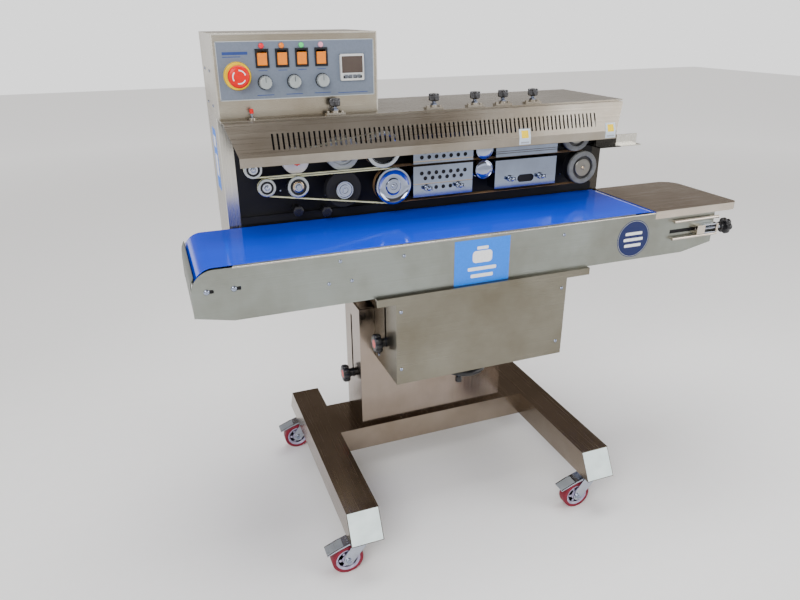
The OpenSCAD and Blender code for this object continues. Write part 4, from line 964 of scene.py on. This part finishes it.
def blocks():
    low, high = box("lower_blocks")
    face = low.y + 14
    top, bottom = high.z, box("upper_blocks")[0].z
    cool_x = low.x + 82.5
    heat_x = high.x - 92.5
    spots = hole_row(7, cool_x, top - 18) + hole_row(6, cool_x, top - 31) + hole_row(3, cool_x, top - 56)
    # black discs sunk in the cooling holes paint the shade inside them
    discs("lower_hole_shade", spots, HOLE_RADIUS, face + 2.4, face + 11.9, BLACK_PAINT, "mast",
          "black_plate")
    spots = hole_row(7, cool_x, bottom + 16) + hole_row(6, cool_x, bottom + 29)
    discs("upper_hole_shade", spots, HOLE_RADIUS, face + 2.4, face + 11.9, BLACK_PAINT, "mast",
          "black_plate")
    z = top - 55
    # a black sleeve in the heater hole paints the shade inside it
    prism("heater_hole_shade", "xz", rounded(heat_x - 24.9, z - 9.9, heat_x + 24.9, z + 9.9, 9.8, 12),
          face + 3, face + 17.9, BLACK_PAINT, "mast", "black_plate")
    seams = [(low.x, low.x + 165, top - 46), (low.x, low.x + 165, bottom + 5)]
    seams += [(high.x - 185, high.x, bottom + dz) for dz in (8, 13, 24)]
    for i, (x0, x1, z) in enumerate(seams):
        slab(f"block_seam_{i}", (x0, face + 0.9, z + 0.1), (x1, face + 1.9, z + 1.9),
             BRASS if i < 2 else DARK_METAL,
             "mast", "block_steel", 0.1)
    # chrome wing screws over the plain ones
    wings = [(cool_x + dx, top - 56) for dx in (-44, 44)] + [(heat_x + dx, top - 53) for dx in (-46, 46)]
    for i, (x, z) in enumerate(wings):
        centre = (x, face, z)
        lathe(f"wing_screw_{i}_boss", "y", centre,
              [(0, 0), (0, 8.6), (-3, 8.6), (-4.4, 7), (-12, 5.4), (-14.4, 4.4), (-15, 2.6),
              (-15, 0)], CHROME, "mast", "zinc", 40)
        for side in (-1, 1):
            ear = [(x + side * 3, z - 2.4), (x + side * 9, z - 4.6), (x + side * 12.4, z - 2.6),
                   (x + side * 12.4, z + 2.6), (x + side * 9, z + 4.6), (x + side * 3, z + 2.4)]
            prism(f"wing_screw_{i}_{'left' if side < 0 else 'right'}", "xz", ear, face - 14, face - 5,
                  CHROME, "mast",
                  "zinc", 1.4)


def mast_cap():
    """Closes the top of the inner tube beside the lift arm."""
    low, high = box("column")
    slab("mast_cap", (low.x + 4.5, low.y + 4.5, high.z + 0.5), (low.x + 120, high.y - 4.5, high.z + 3.2),
         STEEL["column"], "mast", "column_steel", 0.5)


def head_sticker():
    """A plain blue and white sticker on the left side of the head."""
    low, high = box("head_case")
    y0, y1 = low.y + 60, low.y + 125
    height = 150
    z1 = high.z - 35
    z0 = z1 - height
    slab("side_sticker", (low.x - 0.3, y0, z0), (low.x + 0.2, y1, z1), STICKER_BLUE, "mast", "head_steel",
         0)
    for i, (a, b) in enumerate(((0.12, 0.30), (0.42, 0.78))):
        slab(f"side_sticker_bar_{i}", (low.x - 0.45, y0 + 12, z1 - b * height),
             (low.x - 0.2, y1 - 12, z1 - a * height), INK_WHITE, "mast", "head_steel", 0)


def plate_details():
    plate_y = box("corner_posts")[0].y + 86
    for i, (x, z) in enumerate(((-475, 820), (-362, 798), (-456, 750), (328, 793), (-288, 836))):
        bolt(f"plate_screw_{i}", "y", (x, plate_y, z), 3.4, 4, -1, "mast")
    for i, (x, z) in enumerate(((-441.5, 774), (-370, 766))):
        centre = (x, plate_y - 42, z)
        points = [(42, 0), (42, 9), (14, 9), (12, 12), (3, 13.4), (0.8, 12.6), (0, 10.5), (0, 5),
                  (1.6, 4.4), (1.6, 0)]
        lathe(f"adjusting_knob_{i}", "y", centre, points, KNOB, "mast", "black_knob", 72, 6, 1.2)


def guard_label(name, x0, x1):
    """A pale sticker bent over the canopy's fold, with a plain yellow patch and a grey bar."""
    low, high = box("guard")
    fold_z = low.z + 21
    rise = (high.z - fold_z) / (25)
    edge_z = fold_z + 20
    foot_z = low.z + 3

    def strip(part, left, right, z0, z1, proud, material):
        def outside(z, gap):
            return (low.y + max(0.0, z - fold_z) / rise - gap, z)
        levels = [z1] + ([fold_z] if z0 < fold_z < z1 else []) + [z0]
        outline = [outside(z, proud) for z in levels] + [outside(z, proud - 0.2) for z in reversed(levels)]
        prism(f"{name}_{part}", "yz", outline, left, right, material, "mast", "guard_steel")
    strip("sheet", x0, x1, foot_z, edge_z, 0.35, LABEL)
    inset = 0.2 * (x1 - x0)
    strip("patch", x0 + inset, x1 - inset, fold_z - 2, edge_z - 4, 0.5, INK_YELLOW)
    strip("bar", x0 + 4, x1 - 4, foot_z + 3, foot_z + 7, 0.5, GREY_PLASTIC)


def pressure_knobs():
    for i in range(1, 6):
        node = f"pressure_knob_{i}"
        low, high = box(node)
        centre = Vector(((low.x + high.x) / 2, (low.y + high.y) / 2, high.z))
        grip = [(-18, 0), (-18, 8), (-17, 11.4), (-14.6, 13), (-3, 13), (-1.4, 12.4), (0, 10.6), (0, 5.4),
                (-1.2, 4.8), (-1.2, 0)]
        piece = lathe(node + "_grip", "z", centre, grip, DARK_CHROME, node, "black_knob", 144, 18, 1.5, 1.2)
        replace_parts(piece, node)
        threaded_rod(node + "_stem", "z", (centre.x, centre.y, 0), low.z, high.z - 17.6, 5, 1.5, node)
        seat = high.z - 28
        lathe(node + "_seat_nut", "z", (centre.x, centre.y, seat),
              [(0, 5.2), (0, 9), (4.4, 9), (5, 8.2), (5, 5.2), (0, 5.2)], CHROME, "mast", "zinc", 6)


def lever():
    low, high = box("shift_lever")
    x, y = (low.x + high.x) / 2, (low.y + high.y) / 2
    piece = lathe("lever_sleeve", "z", (x, y, high.z),
                  [(-10, 0), (-10, 3.8), (-9.4, 4.5), (-2, 4.5), (-0.6, 3.8), (0, 2.4),
                  (0, 0)], STOP_RED, "shift_lever", "red_tip", 40)
    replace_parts(piece, "shift_lever")
    lathe("lever_pin", "z", (x, y, high.z), [(-9.8, 0), (-9.8, 2.2), (-20.4, 2.2), (-20.4, 0)], CHROME,
          "shift_lever", "zinc", 24)
    lathe("lever_pivot", "y", (x, y, low.z + 2.6), [(-3.2, 0), (-3.2, 2.6), (3.2, 2.6), (3.2, 0)], CHROME,
          "shift_lever",
          "zinc", 24)


# ---------------------------------------------------------------- control panel
def stop_button():
    low, high = box("emergency_stop")
    centre = Vector(((low.x + high.x) / 2, low.y, (low.z + high.z) / 2))
    r = (high.x - low.x) / 2
    face = box("control_box")[0].y - 1.5
    dome = [(16, 0), (16, r - 5), (14.6, r - 2.6), (12, r - 0.8), (8, r), (4.6, r - 0.8), (2.4, r - 3),
            (1, r - 7), (0.2, r - 12), (0, 0)]
    piece = lathe("stop_head", "y", centre, dome, STOP_RED, "emergency_stop", "stop_red", 96)
    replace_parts(piece, "emergency_stop")
    lathe("stop_stem", "y", centre, [(15.8, 0), (15.8, 10), (20.5, 10), (20.5, 7), (49, 7), (49, 0)], KNOB,
          "emergency_stop",
          "stop_red", 48)
    for i in range(3):
        start, end = 120 * i + 14, 120 * i + 92
        mark = arc(centre.x, centre.z, 15, start, end, 14) + arc(centre.x, centre.z, 12.6, end, start, 14)
        prism(f"stop_mark_{i}", "xz", mark, centre.y + 0.3, centre.y + 2.6, INK_WHITE, "emergency_stop",
              "stop_red")
    ring = [(0.2, 12.6), (-2.6, 12.6), (-3.4, 14), (-3.4, 28.6), (-2.4, 30.2), (0.2, 30.4), (0.2, 12.6)]
    lathe("stop_ring", "y", (centre.x, face, centre.z), ring, STOP_YELLOW, "mast", "overlay", 96)


def rockers():
    tilt = math.radians(6)
    for i in range(1, 5):
        node = f"rocker_{i}"
        low, high = box(node)
        pivot = Vector((0, box("control_box")[0].y + 6, (low.z + high.z) / 2))
        outline = [(-12.3, 14.6), (-11.9, 13.4), (-10.6, 1.4), (-10.4, 0), (-10.6, -1.4), (-11.9, -10.6),
                   (-11.6, -12.0), (3, -9), (3, 9)]
        placed = [(pivot.y + (y * math.cos(tilt) - z * math.sin(tilt)),
                   pivot.z + (y * math.sin(tilt) + z * math.cos(tilt)))
                  for y, z in outline]
        piece = prism(f"{node}_cap", "yz", placed, low.x, high.x, ROCKER, node, "rocker_orange", 0.7)
        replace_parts(piece, node)


def dials():
    face = box("control_box")[0].y - 1.5
    for i in range(1, 4):
        node = f"dial_{i}"
        low, high = box(node)
        centre = Vector(((low.x + high.x) / 2, face, (low.z + high.z) / 2))
        cap = [(-5, 0), (-5, 14.9), (-6, 15), (-15, 14), (-16.6, 13.2), (-17.2, 11.8), (-17.2, 0)]
        piece = lathe(node + "_cap", "y", centre, cap, DIAL_GREY, node, "dial_grey", 144, 16, 1.0, 1.6)
        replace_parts(piece, node)
        lathe(node + "_skirt", "y", centre,
              [(-0.4, 0), (-0.4, 15.6), (-1.6, 16.2), (-4.4, 15.6), (-5.2, 15), (-5.2, 0)], KNOB,
              node, "black_knob", 72)
        lathe(node + "_shaft", "y", centre, [(-1, 0), (-1, 3), (13, 3), (13, 0)], CHROME, node, "zinc", 24)
        slab(node + "_pointer", (centre.x - 0.7, face - 17.5, centre.z + 1),
             (centre.x + 0.7, face - 17.0, centre.z + 12), INK_DARK, node, "dial_grey", 0.1)


def temperature_controller():
    low, high = box("control_panel")
    face = low.y + 8
    x0, z0 = -322, high.z - 90
    side = 57
    case = rounded(x0 - 0.3, z0 - 0.3, x0 + side + 0.3, z0 + side + 1.3, 2.5)
    prism("controller_case", "xz", case, face - 7.2, face, SILVER_PLASTIC, "mast", "overlay", 1)
    glass = rounded(x0 + 3.5, z0 + 17, x0 + side - 3.5, z0 + side - 3.5, 1.5)
    prism("controller_window", "xz", glass, face - 7.7, face - 7.0, DISPLAY, "mast", "overlay", 0.3)
    band = rounded(x0 + 7, z0 + 4.4, x0 + side - 7, z0 + 14.4, 1.5)
    prism("controller_key_field", "xz", band, face - 7.5, face - 7.0, GREY_PLASTIC, "mast", "overlay", 0.2)
    for i in range(4):
        x = x0 + 9.4 + 10 * i
        key = rounded(x, z0 + 6, x + 8, z0 + 12.8, 1.6)
        prism(f"controller_key_{i}", "xz", key, face - 8.2, face - 7.4, KEY_GREY, "mast", "overlay", 0.4)


def panel_prints():
    low, high = box("control_panel")
    face = low.y + 8
    near, far = face - 0.12, face + 0.05

    def bar(name, x0, x1, z0, z1, material):
        slab(name, (x0, near, z0), (x1, far, z1), material, "mast", "overlay", 0)
    edge = 1.6
    edges = {"top": (low.x, high.x, high.z - edge, high.z), "bottom": (low.x, high.x, low.z, low.z + edge),
             "left": (low.x, low.x + edge, low.z, high.z), "right": (high.x - edge, high.x, low.z, high.z)}
    for side, ends in edges.items():
        bar("film_edge_" + side, *ends, FILM_EDGE)
    # plain bars under the switches and dials, and a double bar over the stop button
    switches = [middle(f"rocker_{i}").x for i in range(1, 5)]
    for i, x in enumerate(switches):
        bar(f"switch_mark_{i}", x - 10, x + 10, low.z + 61, low.z + 62.4, INK_BLUE)
    for i in range(3):
        x = middle(f"dial_{i + 1}").x
        bar(f"dial_mark_{i}", x - 19, x + 19, low.z + 8.5, low.z + 10, INK_BLUE)
    bar("controller_mark", -328, -256, low.z + 6.5, low.z + 8, INK_BLUE)
    bar("heading_bar_a", low.x + 13, low.x + 68, high.z - 28, high.z - 22, INK_BLUE)
    bar("heading_bar_b", low.x + 13, low.x + 52, high.z - 33, high.z - 31.4, INK_BLUE)
    for i, x in enumerate(switches):
        centre = (x, face, high.z - 10.5)
        ring = [(0.1, 5.2), (-2.1, 5.2), (-2.3, 5.4), (-2.1, 5.8), (0.1, 6), (0.1, 5.2)]
        lathe(f"lamp_ring_{i}", "y", centre, ring, LAMP_RIMS[i], "mast", "overlay", 48)
        dome = [(0, 0), (0, 5.3), (-2.2, 5.3), (-3, 4.2), (-3.4, 2.4), (-3.5, 0)]
        lathe(f"lamp_{i}", "y", centre, dome, LAMPS[i], "mast", "overlay", 48)


def rear_details():
    """Frame strips and screws of the rear cover, a plain plate, the gland's nut and the box's screws."""
    low, high = box("head_case")
    y = high.y
    top = high.z - 4
    bottom = max(low.z + 16, box("mechanism_plate")[0].z)
    wide = 16
    edges = {"left": (low.x + 4, low.x + 4 + wide, bottom, top),
             "right": (high.x - 4 - wide, high.x - 4, bottom, top),
             "top": (low.x + 4 + wide, high.x - 4 - wide, top - wide, top),
             "bottom": (low.x + 4 + wide, high.x - 4 - wide, bottom, bottom + wide)}
    for side, (x0, x1, z0, z1) in edges.items():
        slab("rear_frame_" + side, (x0, y - 0.3, z0), (x1, y + 1.0, z1), STEEL["head"], "mast",
             "head_steel", 0.4)
    for i in range(6):
        x = low.x + 12 + i * (high.x - low.x - 24) / 5
        for row, z in (("low", bottom + 8), ("high", top - 8)):
            bolt(f"rear_cover_screw_{row}_{i}", "y", (x, y + 0.9, z), 4.2, 2.4, 1, "mast")
    plate_x = (low.x + high.x) / 2
    plate_z = bottom + 140
    slab("type_plate", (plate_x - 45, y - 0.2, plate_z), (plate_x + 45, y + 0.6, plate_z + 60),
         SILVER_PLASTIC,
         "mast", "head_steel", 0.3)
    for i in range(4):
        z = plate_z + 9 + 13 * i
        slab(f"type_plate_bar_{i}", (plate_x - 36, y + 0.5, z),
             (plate_x + (36 if i % 2 else 14), y + 0.7, z + 3), INK_DARK, "mast", "head_steel", 0)
    nut_place = (low.x + 60, y - 30, 0)
    base = low.z
    lathe("gland_nut", "z", nut_place, [(base - 0.2, 5), (base - 0.2, 11), (base + 1.4, 12.6),
          (base + 7, 12.6), (base + 7, 5), (base - 0.2, 5)], KNOB, "mast", "head_steel", 48, 16, 0.8)
    low, high = box("control_box")
    for i, (fx, fz) in enumerate(((0.04, 0.06), (0.96, 0.06), (0.04, 0.93), (0.96, 0.93))):
        place = (low.x + fx * (high.x - low.x), high.y, low.z + fz * (high.z - low.z))
        bolt(f"box_rear_screw_{i}", "y", place, 3.6, 2.2, 1, "mast")


def control_box_highlights_and_bolts():
    # bright steel strips along the left, right and top front edges are painted highlights; the side bolts
    # follow
    low, high = box("control_box")
    proud = low.y - 0.6
    back = low.y + 0.2
    rim = 3.2
    edges = {"left": ((low.x, proud, low.z), (low.x + rim, back, high.z)),
             "right": ((high.x - rim, proud, low.z), (high.x, back, high.z)),
             "top": ((low.x + rim, proud, high.z - rim), (high.x - rim, back, high.z))}
    for side, (near, far) in edges.items():
        slab("box_edge_highlight_" + side, near, far, STEEL["post"], "mast", "box_skin", 0.6)
    for i, (fy, fz) in enumerate(((0.35, 0.55), (0.35, 0.12), (0.75, 0.55), (0.75, 0.12))):
        place = (low.x, low.y + fy * (high.y - low.y), low.z + fz * (high.z - low.z))
        bolt(f"box_side_bolt_{i}", "x", place, 3.6, 2.2, -1, "mast")
        place = (high.x, place[1], place[2])
        bolt(f"box_far_bolt_{i}", "x", place, 3.6, 2.2, 1, "mast")


dress_nodes()
stand()
clamp_knobs()
handwheel()
conveyor()
band_wheels()
end_wheels()
press_wheels()
drawing_rollers()
feed_rollers()
guide_pulleys()
bands()
blocks()
plate_details()
mast_cap()
head_sticker()
guard_label("label_middle", 119, 152)
guard_label("label_right", 380, 412)
pressure_knobs()
lever()
stop_button()
rockers()
dials()
temperature_controller()
panel_prints()
control_box_highlights_and_bolts()
rear_details()
